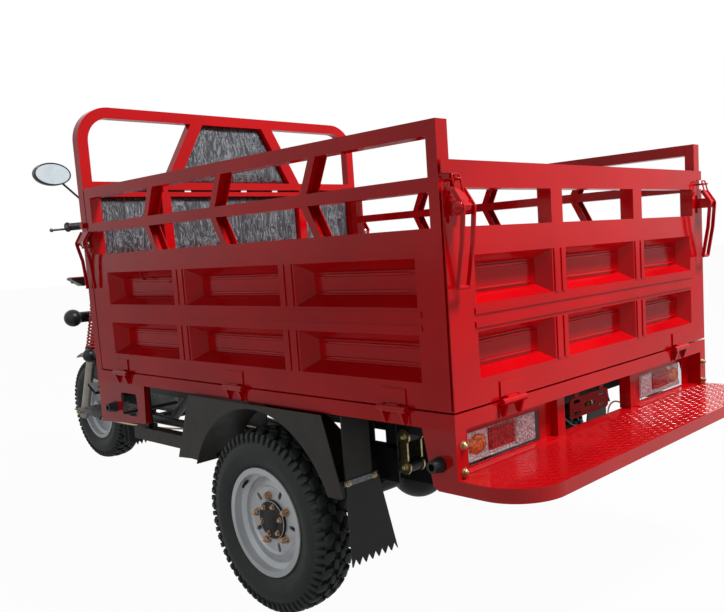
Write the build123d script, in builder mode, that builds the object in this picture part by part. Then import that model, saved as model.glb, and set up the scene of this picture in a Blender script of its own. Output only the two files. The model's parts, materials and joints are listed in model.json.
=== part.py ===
from build123d import *
import math
import os

os.makedirs("parts", exist_ok=True)

# Cargo tricycle. Sizes in mm. The front faces -Y, the left side is +X, the ground is Z = 0,
# and the origin is at the middle of the whole length.

# the whole length
bed_length = 1768.0       # load bed, outside
step_out = 205.0          # rear step, behind the bed
cab_length = 1387.0       # from the bed's front face to the front axle
tyre_r = 284.0
length = tyre_r + cab_length + bed_length + step_out
bed_rear = length / 2 - step_out
bed_front = bed_rear - bed_length

# load bed
bed_half = 685.0          # half width over the side gates
rail = 40.0               # square tube of the bed rails and the front hoop
inner = bed_half - rail
floor_z = 690.0           # top of the floor and of the bed rails
floor_sheet = 3.0
floor_drop = 1.0          # the floor lies this much lower than the rails round it
gap = 5.0                 # air between a gate and what stands next to it

# gates
skin = 2.5                # pressed sheet
gate_thick = 50.0
gate_low = floor_z + gap
panel_top = 1120.0
rows = ((759.0, 872.0), (938.0, 1053.0))
middle = (rows[0][1] + rows[1][0]) / 2
side_columns = ((bed_front + 161, bed_rear - 1166), (bed_rear - 1093, bed_rear - 611),
                (bed_rear - 542, bed_rear - 95))
draft = 30.0              # slope of the recess walls, degrees
bead = 3.0                # height of the pressed beads
gate_front = bed_front + rail + gap + 1.0
gate_rear = bed_rear - 8.0

# rack above a side gate
rack_top = 1361.0
rack_bar = 36.0
rack_deep = 42.0
corner_post = 32.0
panel_rear = gate_rear - corner_post
mid_rail = (1202.0, 1234.0)
brace_y = (bed_rear - 1267, bed_rear - 874, bed_rear - 448)
brace_width = 28.0
brace_lean = 45.0
brace_wall = 3.0

# tailgate
tail_thick = 43.0
tail_y = (bed_rear - tail_thick, bed_rear)
tail_flange = 3.0
tail_half = bed_half - 2.0
tail_core = bed_half - gate_thick - 7.0
tail_columns = ((46 - tail_core, -255.0), (-189.0, 189.0), (255.0, tail_core - 46))
tail_top = 1271.0
tail_rail = 63.0
tail_post = 54.0
tail_post_x = 222.0

# gate hinges
pin_r = 5.0
pin_play = 0.05
knuckle_r = 9.0
hinge_out = 12.0          # pin axis outside the gate's face
hinge_z = floor_z
hinge_x = bed_half + hinge_out
tail_hinge_y = bed_rear + hinge_out
knuckle_len = 40.0
fixed_len = 28.0
knuckle_gap = 0.5
leaf_high = 45.0
leaf_thick = 4.0
side_hinge_y = (bed_front + 208, bed_rear - 860, bed_rear - 190)
tail_hinge_x = bed_half - 215

# toggle latches: distance out from the face and height from the pin, along one arm
latch_z = 1161.0
side_arm = ((11.0, 44.0), (36.0, 4.0), (19.0, -62.0), (11.0, -164.0))
side_latch_half = 30.0
side_latch_y = gate_front + 3.0
tail_arm = ((22.0, 42.0), (49.0, 2.0), (41.0, -80.0), (22.0, -178.0))
tail_latch_half = 19.0
tail_latch_x = bed_half - 31
arm_wide = 11.0
arm_thick = 5.0
keeper_x = tail_latch_x + 3
keeper_z = 1225.0
keeper_out = 30.0
keeper_r = 3.0

# front hoop and head of the bed
hoop_top = 1664.0
hoop_bend = 110.0
cross_rail = (1360.0, 1390.0)
thin_rail = (1334.0, 1352.0)
pad_rail = (1069.0, 1109.0)
upright_x = 345.0
head_bottom_x = 282.0
head_top_x = 148.0
head_bar = 56.0
sheet_y = bed_front + 16
pad_y = (bed_front - 28.0, bed_front + rail - 12.0)
pad_z = (pad_rail[1], thin_rail[0])

# wheels, 12 inch rims
tyre_half = 68.0
rim_half = 55.0
lip = 5.0
lip_r = 167.5
seat_r = 154.0
well_r = 138.0
wheel_z = tyre_r
rear_axle_y = bed_rear - 771.0
front_axle_y = bed_front - cab_length
spindle_r = 20.0
axle_r = 10.0
play = 0.05
disc_x = 18.0             # outer face of the wheel disc, from the middle of the tyre
hub_r = 60.0
hub_out = 10.0
nut_at = 75.0
nut_count = 5
nut_turn = 28.0           # place of the first nut, degrees
slot_at = 88.0

# mudguards
guard_x = bed_half + 18.0       # outer face of the mudguards
rear_wheel_x = guard_x - tyre_half
guard_in = rear_wheel_x - tyre_half - 22.0
arch_r = tyre_r + 66.0
sheet = 3.0
stay_y = (bed_front + bed_rear) / 2 - 680       # under the bed's first cross member

# steering
rake = 25.0
slope = (math.sin(math.radians(rake)), math.cos(math.radians(rake)))
trail = 80.0              # from the front axle to where the steering axis meets the ground
steer_foot_y = front_axle_y - trail
fork_offset = wheel_z * slope[0] - trail * slope[1]
axle_along = trail * slope[0] + wheel_z * slope[1]
fork_x = tyre_half + 57.0
head_low = 985.0          # along the steering axis
head_high = 1145.0
head_r = 34.0
stem_r = 16.0
yoke_low = (940.0, 975.0)
yoke_high = (1155.0, 1185.0)
bar_r = 11.0
riser_x = 45.0
riser_r = 13.0
fender_r = tyre_r + 34.0

# chassis
frame_x = rear_wheel_x - tyre_half - 87.0
frame_rail = (50.0, 80.0)
frame_top = floor_z - rail
frame_low = frame_top - frame_rail[1]
cross_low = frame_low + 10
tube_y = steer_foot_y + 550     # front down tubes
tube_x = 165.0
spring_wide = 50.0
eye_pin = 8.0
axle_tube_r = 38.0
flange_x = rear_wheel_x - tyre_half - 9.0
spindle_end = rear_wheel_x + 16.0
spring_eye_z = 475.0
shackle_z = 561.0
spring_half = 431.0
leaf = 9.0
leaf_count = 5
leaf_z = wheel_z + axle_tube_r + 5 + leaf * (leaf_count - 0.5)
shackle_y = rear_axle_y + spring_half

# box hung under the bed, behind the rear axle
box_x = (-290.0, 290.0)
box_y = (bed_rear - 615, bed_rear - 340)

# engine, seat and boards
engine_z = 372.0
engine_rear = bed_front - 392
engine_front = engine_rear - 405
port = (engine_rear - 365, 680.0)
board_z = 392.0
seat_z = 695.0

# rear step, lamps and skirts
step_z = 535.0
step_skirt = 35.0
step_corner = 130.0
lower_edge = 500.0
panel_y = bed_rear - 44.0       # rear face of the lamp panels
step_front = panel_y - 12
lamp_wall_x = bed_half - 37
lamp_x = (bed_half - 399, bed_half - 95)
lamp_z = (541.0, 622.0)
post_x = (lamp_x[0] - 99, lamp_x[0] - 62)
plate_half = lamp_x[0] - 178
plate_y = bed_rear - 60.0
plate_z = (556.0, 616.0)
slot_x = 70.0
slot_up = 17.0
buffer_out = 32.0


def block(x, y, z, mode=Mode.ADD):
    """A box between two values on each axis, in the open part."""
    with Locations(((x[0] + x[1]) / 2, (y[0] + y[1]) / 2, (z[0] + z[1]) / 2)):
        Box(x[1] - x[0], y[1] - y[0], z[1] - z[0], mode=mode)


def rect(x, y, mode=Mode.ADD):
    """A rectangle between two values on each axis, in the open sketch."""
    with Locations(((x[0] + x[1]) / 2, (y[0] + y[1]) / 2)):
        Rectangle(x[1] - x[0], y[1] - y[0], mode=mode)


def pipe(points, radius, bend):
    """A round bar along a bent line, added to the open part."""
    with BuildLine() as path:
        FilletPolyline(*points, radius=bend)
    with BuildSketch(Plane(origin=path.line @ 0, z_dir=path.line % 0)) as section:
        Circle(radius)
    sweep(sections=section.sketch, path=path.line)


def bar(start, end, radius, mode=Mode.ADD):
    """A straight round bar between two points, in the open part."""
    a = Vector(*start)
    b = Vector(*end)
    with BuildSketch(Plane(origin=a, z_dir=b - a)) as section:
        Circle(radius)
    extrude(section.sketch, amount=(b - a).length, mode=mode)


def side_plane(x):
    """Sketch plane square to X: sketch x is Y and sketch y is Z."""
    return Plane(origin=(x, 0, 0), x_dir=(0, 1, 0), z_dir=(1, 0, 0))


def end_plane(y):
    """Sketch plane square to Y: sketch x is -X and sketch y is Z."""
    return Plane(origin=(0, y, 0), x_dir=(-1, 0, 0), z_dir=(0, 1, 0))


def cross_plane(y):
    """Sketch plane square to Y: sketch x is X and sketch y is Z, and it is extruded forward."""
    return Plane(origin=(0, y, 0), x_dir=(1, 0, 0), z_dir=(0, -1, 0))


def hang_flap(top_in, top_out, low_in, low_out, y, low, high):
    """A toothed rubber sheet, 5 mm thick, given its corners across X and its lower and upper edges."""
    with BuildSketch(end_plane(y)) as outline:
        teeth = [(-top_out, high), (-low_out, low)]
        pitch = (low_out - low_in) / 7
        for n in range(7):
            teeth.append((-low_out + (n + 0.5) * pitch, low + 22))
            teeth.append((-low_out + (n + 1) * pitch, low))
        teeth.append((-top_in, high))
        Polygon(*teeth, align=None)
    extrude(outline.sketch, amount=5)


def finish(part, name):
    part.part.label = name
    export_step(part.part, f"parts/{name}.step")


def welded(pieces, name):
    """Several pieces that meet face to face, as the solids of one part."""
    export_step(Compound(label=name, children=pieces), f"parts/{name}.step")


# ---------------------------------------------------------------- bed frame
with BuildPart() as bed_frame:
    for side in (-1, 1):
        block(sorted((side * inner, side * bed_half)), (bed_front, bed_rear), (frame_top, floor_z))
    for y in (bed_front, bed_rear - rail):
        block((-bed_half, bed_half), (y, y + rail), (frame_top, floor_z))
    with GridLocations(0, 340, 1, 5):
        with Locations((0, (bed_front + bed_rear) / 2, floor_z - (rail + floor_sheet + floor_drop) / 2)):
            Box(2 * inner, rail, rail - floor_sheet - floor_drop)
    block((-inner, inner), (bed_front + rail, bed_rear - rail),
          (floor_z - floor_drop - floor_sheet, floor_z - floor_drop))
finish(bed_frame, "bed_frame")

# ---------------------------------------------------------------- front hoop and its wall
with BuildPart() as hoop:
    with BuildSketch(end_plane(bed_front)):
        with BuildLine():
            FilletPolyline((rail / 2 - bed_half, floor_z), (rail / 2 - bed_half, hoop_top - rail / 2),
                           (bed_half - rail / 2, hoop_top - rail / 2), (bed_half - rail / 2, floor_z),
                           radius=hoop_bend)
        trace(line_width=rail)
    extrude(amount=rail)
    for side in (-1, 1):
        block(sorted((side * bed_half, side * (bed_half + 12))), (bed_front + 10, bed_front + 32),
              (latch_z + 58, latch_z + 78))
hoop_pieces = [hoop.part]
for z in (cross_rail, thin_rail, pad_rail):
    with BuildPart() as cross_bar:
        block((-inner, inner), (bed_front, bed_front + rail), z)
    hoop_pieces.append(cross_bar.part)
for side in (-1, 1):
    for half, z in ((rail / 2, (pad_rail[1], thin_rail[0])), (10, (thin_rail[1], cross_rail[0]))):
        with BuildPart() as upright:
            block(sorted((side * (upright_x - half), side * (upright_x + half))), (bed_front, bed_front + rail), z)
        hoop_pieces.append(upright.part)
    with BuildPart() as head_side:
        with BuildSketch(end_plane(bed_front)):
            Polygon((side * head_bottom_x, cross_rail[1]),
                    (side * (head_bottom_x + head_bar), cross_rail[1]),
                    (side * (head_top_x + head_bar), hoop_top - rail),
                    (side * head_top_x, hoop_top - rail), align=None)
        extrude(amount=rail)
    hoop_pieces.append(head_side.part)
welded(hoop_pieces, "bulkhead_frame")

with BuildPart() as bulkhead_panel:
    block((-inner, inner), (sheet_y, sheet_y + skin), (floor_z, pad_rail[0]))
    with Locations((0, sheet_y + 10, (floor_z + pad_rail[0]) / 2)):
        with GridLocations(300, 0, 4, 1):
            Box(60, 20, pad_rail[0] - floor_z - 80)
finish(bulkhead_panel, "bulkhead_panel")

with BuildPart() as backrest_pads:
    block((rail / 2 - upright_x, upright_x - rail / 2), pad_y, pad_z)
    for side in (-1, 1):
        block(sorted((side * (upright_x + rail / 2), side * inner)), pad_y, pad_z)
    with BuildSketch(end_plane(pad_y[0])):
        Polygon((-head_bottom_x, cross_rail[1]), (head_bottom_x, cross_rail[1]),
                (head_top_x, hoop_top - rail), (-head_top_x, hoop_top - rail), align=None)
    extrude(amount=pad_y[1] - pad_y[0])
finish(backrest_pads, "backrest_pads")

# ---------------------------------------------------------------- side gate, left and right
gate_x = (bed_half - gate_thick, bed_half)
with BuildPart() as side_panel_left:
    block(gate_x, (gate_front, panel_rear), (gate_low, panel_top))
    block((gate_x[0], gate_x[1] - skin), (gate_front + skin, panel_rear - skin),
          (gate_low + skin, panel_top - skin), Mode.SUBTRACT)
    face = Plane(origin=(bed_half, 0, 0), x_dir=(0, 1, 0), z_dir=(-1, 0, 0))
    with BuildSketch(face):
        for y in side_columns:
            for z in rows:
                rect((y[0] - skin, y[1] + skin), (-z[1] - skin, skin - z[0]))
    extrude(amount=gate_thick, taper=draft)
    with BuildSketch(face):
        for y in side_columns:
            for z in rows:
                rect(y, (-z[1], -z[0]))
    extrude(amount=gate_thick - skin, taper=draft, mode=Mode.SUBTRACT)
    for z in (middle - 16, middle + 16):
        block((bed_half - skin, bed_half + bead), (side_columns[0][0] - 12, side_columns[2][1] + 12),
              (z - 7, z + 7))
    for y in ((side_columns[0][1] + side_columns[1][0]) / 2,
              (side_columns[1][1] + side_columns[2][0]) / 2):
        for off in (-17, 17):
            for z in rows:
                block((bed_half - skin, bed_half + bead), (y + off - 9, y + off + 9), z)
    for y in side_hinge_y:
        block((bed_half, hinge_x), (y - knuckle_len / 2, y + knuckle_len / 2),
              (gate_low, gate_low + 7))
        block((bed_half, bed_half + leaf_thick), (y - knuckle_len / 2 - 20, y + knuckle_len / 2 + 20),
              (gate_low + 7, gate_low + leaf_high))
        bar((hinge_x, y - knuckle_len / 2, hinge_z), (hinge_x, y + knuckle_len / 2, hinge_z), knuckle_r)
        bar((hinge_x, y - knuckle_len / 2, hinge_z), (hinge_x, y + knuckle_len / 2, hinge_z),
            pin_r + pin_play, Mode.SUBTRACT)
finish(side_panel_left, "side_panel_left")

with BuildPart() as side_panel_right:
    mirror(side_panel_left.part, about=Plane.YZ)
finish(side_panel_right, "side_panel_right")

# its tubes meet face to face, and each is a solid of its own
rack_x = (bed_half - rack_deep, bed_half)
rail_low = rack_top - rack_bar
rack_left = []
for x, y, z in (((bed_half - rail, bed_half), (panel_rear, gate_rear), (gate_low, rack_top)),
                (rack_x, (gate_front, gate_front + rail), (panel_top, rack_top)),
                (rack_x, (gate_front + rail, panel_rear), (rail_low, rack_top)),
                (rack_x, (gate_front + rail, panel_rear), mid_rail)):
    with BuildPart() as tube:
        block(x, y, z)
    rack_left.append(tube.part)
for y in brace_y:
    for low, high, lean in ((mid_rail[1], rail_low, 1), (panel_top, mid_rail[0], -1)):
        foot = y - brace_lean if lean > 0 else y
        head = y if lean > 0 else y - brace_lean
        with BuildPart() as brace:
            with BuildSketch(side_plane(rack_x[0])):
                Polygon((foot, low), (foot + brace_width, low),
                        (head + brace_width, high), (head, high), align=None)
            extrude(amount=rack_deep)
            with BuildSketch(side_plane(rack_x[0] + brace_wall)):
                Polygon((foot + brace_wall, low), (foot + brace_width + 1, low),
                        (head + brace_width + 1, high), (head + brace_wall, high), align=None)
            extrude(amount=rack_deep - 2 * brace_wall, mode=Mode.SUBTRACT)
        rack_left.append(brace.part)
with BuildPart() as keeper:
    pipe(((keeper_x - 6, gate_rear, keeper_z), (keeper_x - 6, bed_rear + keeper_out, keeper_z),
          (keeper_x + 6, bed_rear + keeper_out, keeper_z), (keeper_x + 6, gate_rear, keeper_z)),
         keeper_r, 4)
with BuildPart() as side_latch:
    arm = [(bed_half + out, latch_z + up) for out, up in side_arm]
    for y in (side_latch_y - side_latch_half, side_latch_y + side_latch_half):
        with BuildSketch(cross_plane(y + arm_thick / 2)):
            with BuildLine():
                FilletPolyline(*arm, radius=14)
            trace(line_width=arm_wide)
        extrude(amount=arm_thick)
    with BuildSketch(cross_plane(side_latch_y + 1.3 * side_latch_half)):
        with BuildLine():
            Line(arm[0], arm[1])
        trace(line_width=4)
    extrude(amount=2.6 * side_latch_half)
    block((bed_half, bed_half + 5), (gate_front + 2, gate_front + 38), (latch_z - 32, latch_z + 28))
    for y in (gate_front + 4, gate_front + 24):
        block((bed_half + 5, bed_half + 32), (y, y + 4), (latch_z - 16, latch_z + 16))
    bar((bed_half + 24, gate_front + 8, latch_z), (bed_half + 24, gate_front + 24, latch_z), 15)
    bar((bed_half + 28, side_latch_y - side_latch_half - 8, latch_z),
        (bed_half + 28, side_latch_y + side_latch_half + 8, latch_z), 5)
rack_left += [keeper.part, side_latch.part]
welded(rack_left, "side_rack_left")
welded([mirror(piece, about=Plane.YZ) for piece in rack_left], "side_rack_right")

# ---------------------------------------------------------------- tailgate
arm = [(bed_rear + out, latch_z + up) for out, up in tail_arm]
with BuildPart() as tail_latch:
    for x in (tail_latch_x - tail_latch_half, tail_latch_x + tail_latch_half):
        with BuildSketch(side_plane(x - arm_thick / 2)):
            with BuildLine():
                FilletPolyline(*arm, radius=14)
            trace(line_width=arm_wide)
        extrude(amount=arm_thick)
    with BuildSketch(side_plane(tail_latch_x - tail_latch_half)):
        with BuildLine():
            Line(arm[0], arm[1])
        trace(line_width=4)
    extrude(amount=2 * tail_latch_half)
    bar((tail_latch_x - tail_latch_half, *arm[3]), (tail_latch_x + tail_latch_half, *arm[3]), 5)
    block((tail_latch_x - 16, tail_latch_x + 16), (bed_rear, bed_rear + 5), (latch_z - 32, latch_z + 28))
    for x in (tail_latch_x - 14, tail_latch_x + 10):
        block((x, x + 4), (bed_rear + 5, bed_rear + 46), (latch_z - 16, latch_z + 16))
    bar((tail_latch_x - 10, bed_rear + 36, latch_z), (tail_latch_x + 10, bed_rear + 36, latch_z), 13)
    bar((tail_latch_x - tail_latch_half - 7, bed_rear + 40, latch_z),
        (tail_latch_x + tail_latch_half + 7, bed_rear + 40, latch_z), 5)
    pipe(((keeper_x - 14, bed_rear + 36, latch_z + 6), (keeper_x - 13, bed_rear + 18, keeper_z + 11),
          (keeper_x + 13, bed_rear + 18, keeper_z + 11), (keeper_x + 14, bed_rear + 36, latch_z + 6)),
         2.5, 5)

with BuildPart() as tailgate_frame:
    block((-tail_core, tail_core), tail_y, (gate_low, panel_top))
    block((skin - tail_core, tail_core - skin), (tail_y[0], tail_y[1] - skin),
          (gate_low + skin, panel_top - skin), Mode.SUBTRACT)
    with BuildSketch(Plane(origin=(0, bed_rear, 0), x_dir=(1, 0, 0), z_dir=(0, -1, 0))):
        for x in tail_columns:
            for z in rows:
                rect((x[0] - skin, x[1] + skin), (z[0] - skin, z[1] + skin))
    extrude(amount=tail_thick, taper=draft)
    with BuildSketch(Plane(origin=(0, bed_rear, 0), x_dir=(1, 0, 0), z_dir=(0, -1, 0))):
        for x in tail_columns:
            for z in rows:
                rect(x, z)
    extrude(amount=tail_thick - skin, taper=draft, mode=Mode.SUBTRACT)
    block((-tail_core, tail_core), tail_y, (tail_top - tail_rail, tail_top))
    for side in (-1, 1):
        x = side * tail_post_x
        block((x - tail_post / 2, x + tail_post / 2), tail_y, (panel_top, tail_top - tail_rail))
        block(sorted((side * (tail_core - 20), side * tail_core)), tail_y,
              (panel_top, tail_top - tail_rail))
        block(sorted((side * (tail_core - skin), side * tail_half)), (bed_rear - tail_flange, bed_rear),
              (gate_low, tail_top))
        block(sorted((side * (keeper_x - 20), side * tail_half)), (bed_rear - 20, bed_rear + 1),
              (keeper_z - 15, keeper_z + 15), Mode.SUBTRACT)
        for off in (-17, 17):
            for z in rows:
                block((x + off - 8, x + off + 8), (bed_rear - skin, bed_rear + bead), z)
    for z in (middle - 16, middle + 16):
        block((tail_columns[0][0] - 8, tail_columns[2][1] + 8), (bed_rear - skin, bed_rear + bead),
              (z - 7, z + 7))
    for x in (-tail_hinge_x, tail_hinge_x):
        block((x - knuckle_len / 2, x + knuckle_len / 2), (bed_rear, tail_hinge_y),
              (gate_low, gate_low + 7))
        block((x - knuckle_len / 2 - 20, x + knuckle_len / 2 + 20), (bed_rear, bed_rear + leaf_thick),
              (gate_low + 7, gate_low + leaf_high))
        bar((x - knuckle_len / 2, tail_hinge_y, hinge_z), (x + knuckle_len / 2, tail_hinge_y, hinge_z),
            knuckle_r)
        bar((x - knuckle_len / 2, tail_hinge_y, hinge_z), (x + knuckle_len / 2, tail_hinge_y, hinge_z),
            pin_r + pin_play, Mode.SUBTRACT)
    add(tail_latch.part)
    mirror(tail_latch.part, about=Plane.YZ)
finish(tailgate_frame, "tailgate_frame")

# ---------------------------------------------------------------- fixed halves of the hinges
near = knuckle_len / 2 + knuckle_gap
far = near + fixed_len
lug = ((0, -2), (0, -39), (8, -37), (hinge_out + knuckle_r - 1, -4), (hinge_out, 0))
with BuildPart() as hinge_brackets:
    for side in (-1, 1):
        for y in side_hinge_y:
            block(sorted((side * bed_half, side * (bed_half + 3))), (y - far, y + far),
                  (floor_z - 39, floor_z - 12))
            bar((side * hinge_x, y - far, hinge_z), (side * hinge_x, y + far, hinge_z), pin_r)
            for start in (y - far, y + near):
                bar((side * hinge_x, start, hinge_z), (side * hinge_x, start + fixed_len, hinge_z),
                    knuckle_r)
            for start in (y - near - 16, y + near + 8):
                with BuildSketch(cross_plane(start + 8)):
                    Polygon(*[(side * (bed_half + out), floor_z + up) for out, up in lug], align=None)
                extrude(amount=8)
        x = side * tail_hinge_x
        block((x - far, x + far), (bed_rear, bed_rear + 3), (floor_z - 39, floor_z - 12))
        bar((x - far, tail_hinge_y, hinge_z), (x + far, tail_hinge_y, hinge_z), pin_r)
        for start in (x - far, x + near):
            bar((start, tail_hinge_y, hinge_z), (start + fixed_len, tail_hinge_y, hinge_z), knuckle_r)
        for start in (x - near - 16, x + near + 8):
            with BuildSketch(side_plane(start)):
                Polygon(*[(bed_rear + out, floor_z + up) for out, up in lug], align=None)
            extrude(amount=8)
finish(hinge_brackets, "hinge_brackets")

# ---------------------------------------------------------------- rear step, lamps and skirts
with BuildPart() as rear_step:
    with BuildSketch(Plane.XY.offset(step_z - step_skirt)):
        rect((-bed_half, bed_half), (step_front, bed_rear + step_out))
    extrude(amount=step_skirt)
    fillet(rear_step.edges().filter_by(Axis.Z).group_by(Axis.Y)[-1], radius=step_corner)
    open_faces = rear_step.faces().sort_by(Axis.Z)[:1] + rear_step.faces().sort_by(Axis.Y)[:1]
    offset(amount=-skin, openings=open_faces)
finish(rear_step, "rear_step")

with BuildPart() as lamp_panels:
    for side in (-1, 1):
        block(sorted((side * post_x[0], side * lamp_wall_x)), (panel_y - skin, panel_y),
              (step_z, frame_top))
        block(sorted(side * v for v in lamp_x), (panel_y - 10, panel_y + 10), lamp_z, Mode.SUBTRACT)
        block(sorted(side * v for v in post_x), (panel_y - 18, panel_y + 20), (step_z, frame_top))
        block(sorted((side * (lamp_wall_x - skin), side * lamp_wall_x)), (panel_y, bed_rear),
              (step_z, frame_top))
        block(sorted((side * lamp_wall_x, side * (bed_half - 3))), (bed_rear - 3, bed_rear),
              (step_z, frame_top))
        block(sorted((side * post_x[1], side * (lamp_wall_x - skin))), (panel_y, panel_y + 32),
              (step_z, step_z + 3))
finish(lamp_panels, "lamp_panels")

with BuildPart() as tail_lamps:
    for side in (-1, 1):
        block(sorted((side * (lamp_x[0] - 12), side * (lamp_x[1] + 12))), (panel_y - 34, panel_y - skin),
              (lamp_z[0] - 5, lamp_z[1] + 8))
        block(sorted((side * (lamp_x[0] + 1), side * (lamp_x[1] - 1))), (panel_y - skin, panel_y + 3),
              (lamp_z[0] + 1, lamp_z[1] - 1))
finish(tail_lamps, "tail_lamps")

with BuildPart() as plate_bracket:
    with BuildSketch(end_plane(plate_y)):
        with Locations((0, (plate_z[0] + plate_z[1]) / 2)):
            RectangleRounded(2 * plate_half, plate_z[1] - plate_z[0], 14)
            SlotOverall(60, 12, mode=Mode.SUBTRACT)
            with GridLocations(2 * slot_x, 2 * slot_up, 2, 2):
                SlotOverall(34, 9, mode=Mode.SUBTRACT)
        for x in (-slot_x, slot_x):
            rect((x - 12, x + 12), (plate_z[1] - 1, frame_top))
    extrude(amount=3)
    for x in (-slot_x, slot_x):
        block((x - 12, x + 12), (plate_y, plate_y + 40), (frame_top - 3, frame_top))
finish(plate_bracket, "plate_bracket")

with BuildPart() as skirt_plates:
    for side in (-1, 1):
        with BuildSketch(side_plane(side * bed_half)):
            Polygon((bed_rear, frame_top), (bed_rear, step_z), (step_front, step_z),
                    (step_front, lower_edge), (bed_rear - 62, lower_edge),
                    (bed_rear - 78, lower_edge + 10), (bed_rear - 105, frame_top), align=None)
            Polygon((bed_front, frame_top), (bed_front, lower_edge - 10), (bed_front + 332, lower_edge + 13),
                    (bed_front + 343, frame_top), align=None)
            with Locations((bed_front + 226, 574)):
                RectangleRounded(115, 82, 12, mode=Mode.SUBTRACT)
        extrude(amount=-side * 3.0)
        block(sorted((side * (bed_half - 22), side * bed_half)), (bed_front + 329, bed_front + 332),
              (lower_edge + 13, frame_top))
finish(skirt_plates, "skirt_plates")

with BuildPart() as rubber_buffers:
    for side in (-1, 1):
        for y, z in ((bed_rear - 53, 567), (bed_front + 118, 557)):
            with BuildSketch(Plane(origin=(side * bed_half, y, z), z_dir=(side, 0, 0))):
                Circle(20)
            extrude(amount=buffer_out, taper=9)
            bar((side * (bed_half + buffer_out), y, z), (side * (bed_half + buffer_out - 20), y, z), 9,
                Mode.SUBTRACT)
finish(rubber_buffers, "rubber_buffers")


# ---------------------------------------------------------------- chassis
steer = Plane(origin=(0, steer_foot_y, 0), x_dir=(1, 0, 0), z_dir=(0, slope[0], slope[1]))


def fork_point(back, along):
    """Y and Z of a point given behind the steering axis and along it."""
    return (steer_foot_y + back * slope[1] + along * slope[0], along * slope[1] - back * slope[0])


with BuildPart() as chassis_frame:
    for side in (-1, 1):
        x = side * frame_x
        block((x - frame_rail[0] / 2, x + frame_rail[0] / 2), (bed_front + 20, bed_rear - 90),
              (frame_low, frame_top))
        for off in (-spring_wide / 2 - 6, spring_wide / 2):
            block((x + off, x + off + 6), (rear_axle_y - spring_half - 25, rear_axle_y - spring_half + 25),
                  (spring_eye_z - 22, frame_low))
        block((x - spring_wide / 2, x + spring_wide / 2), (shackle_y - 14, shackle_y + 14),
              (shackle_z - 14, frame_low))
        bar((x - spring_wide / 2, shackle_y, shackle_z), (x + spring_wide / 2, shackle_y, shackle_z),
            eye_pin, Mode.SUBTRACT)
        bar((x - spring_wide / 2, rear_axle_y - spring_half, spring_eye_z),
            (x + spring_wide / 2, rear_axle_y - spring_half, spring_eye_z), eye_pin)
        block((x - 20, x + 20), (bed_rear - 130, bed_rear + 60), (step_z - 20, step_z - skin))
        block((x - 20, x + 20), (bed_rear - 130, bed_rear - 90), (step_z - 20, frame_low))
    for y in (bed_front + 40, bed_rear - 1270, box_y[1] - 110, bed_rear - 180):
        block((-frame_x, frame_x), (y, y + 50), (cross_low, frame_top))
    pipe(((0, steer_foot_y + 470, 985), (0, steer_foot_y + 635, 870), (0, bed_front - 292, 655),
          (0, bed_front + 60, 600)), 26, 90)
    for side in (-1, 1):
        pipe(((side * 14, steer_foot_y + 470, 970), (side * 60, tube_y, 850), (side * tube_x, tube_y, 355),
              (side * tube_x, engine_rear, 345), (side * 260, bed_front + 60, 610)), 19, 50)
        for y in (engine_rear - 300, engine_rear - 440):
            block(sorted((side * (tube_x - 5), side * 330)), (y, y + 30), (board_z - 40, board_z))
    for y in (engine_rear - 400, engine_rear - 80):
        block((-tube_x - 10, tube_x + 10), (y - 20, y + 20), (340, engine_z))
    block((-tube_x, tube_x), (tube_y - 100, tube_y + 5), (405, 425))
    block((-200, 200), (bed_front - 262, bed_front - 42), (655, seat_z))
    with BuildSketch(steer.offset(head_low)):
        Circle(head_r)
    extrude(amount=head_high - head_low)
    with BuildSketch(steer.offset(head_low)):
        Circle(stem_r + play)
    extrude(amount=head_high - head_low, mode=Mode.SUBTRACT)
finish(chassis_frame, "chassis_frame")

with BuildPart() as leaf_springs:
    for side in (-1, 1):
        with BuildSketch(side_plane(side * frame_x - spring_wide / 2)):
            for n in range(leaf_count):
                reach = spring_half * (1 - 0.17 * n)
                low = leaf_z - leaf * n
                tip = low + (spring_eye_z - leaf_z) * (reach / spring_half) ** 2
                with BuildLine():
                    ThreePointArc((rear_axle_y - reach, tip), (rear_axle_y, low),
                                  (rear_axle_y + reach, tip))
                trace(line_width=leaf + 0.5)
            for end in (-1, 1):
                with Locations((rear_axle_y + end * spring_half, spring_eye_z)):
                    Circle(18)
                    Circle(eye_pin, mode=Mode.SUBTRACT)
        extrude(amount=spring_wide)
finish(leaf_springs, "leaf_springs")

with BuildPart() as spring_shackles:
    for side in (-1, 1):
        for off in (-spring_wide / 2 - 6, spring_wide / 2):
            with BuildSketch(side_plane(side * frame_x + off)):
                with Locations((shackle_y, spring_eye_z), (shackle_y, shackle_z)):
                    Circle(22)
                rect((shackle_y - 13, shackle_y + 13), (spring_eye_z, shackle_z))
            extrude(amount=6)
        for z in (spring_eye_z, shackle_z):
            bar((side * frame_x - spring_wide / 2 - 12, shackle_y, z),
                (side * frame_x + spring_wide / 2 + 12, shackle_y, z), eye_pin)
finish(spring_shackles, "spring_shackles")

with BuildPart() as rear_axle:
    bar((-flange_x, rear_axle_y, wheel_z), (flange_x, rear_axle_y, wheel_z), axle_tube_r)
    bar((-spindle_end, rear_axle_y, wheel_z), (spindle_end, rear_axle_y, wheel_z), spindle_r)
    with Locations((0, rear_axle_y, wheel_z)):
        Sphere(105)
    bar((0, rear_axle_y - 160, wheel_z), (0, rear_axle_y, wheel_z), 48)
    for side in (-1, 1):
        bar((side * flange_x, rear_axle_y, wheel_z), (side * (flange_x + 8), rear_axle_y, wheel_z), 104)
        block((side * frame_x - 30, side * frame_x + 30), (rear_axle_y - 45, rear_axle_y + 45),
              (wheel_z, leaf_z - leaf * (leaf_count - 0.5) - 0.25))
    pipe(((0, rear_axle_y - 160, wheel_z), (0, rear_axle_y - 220, wheel_z), (0, engine_rear + 60, 400),
          (0, engine_rear, 400)), 22, 40)
finish(rear_axle, "rear_axle")

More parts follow.
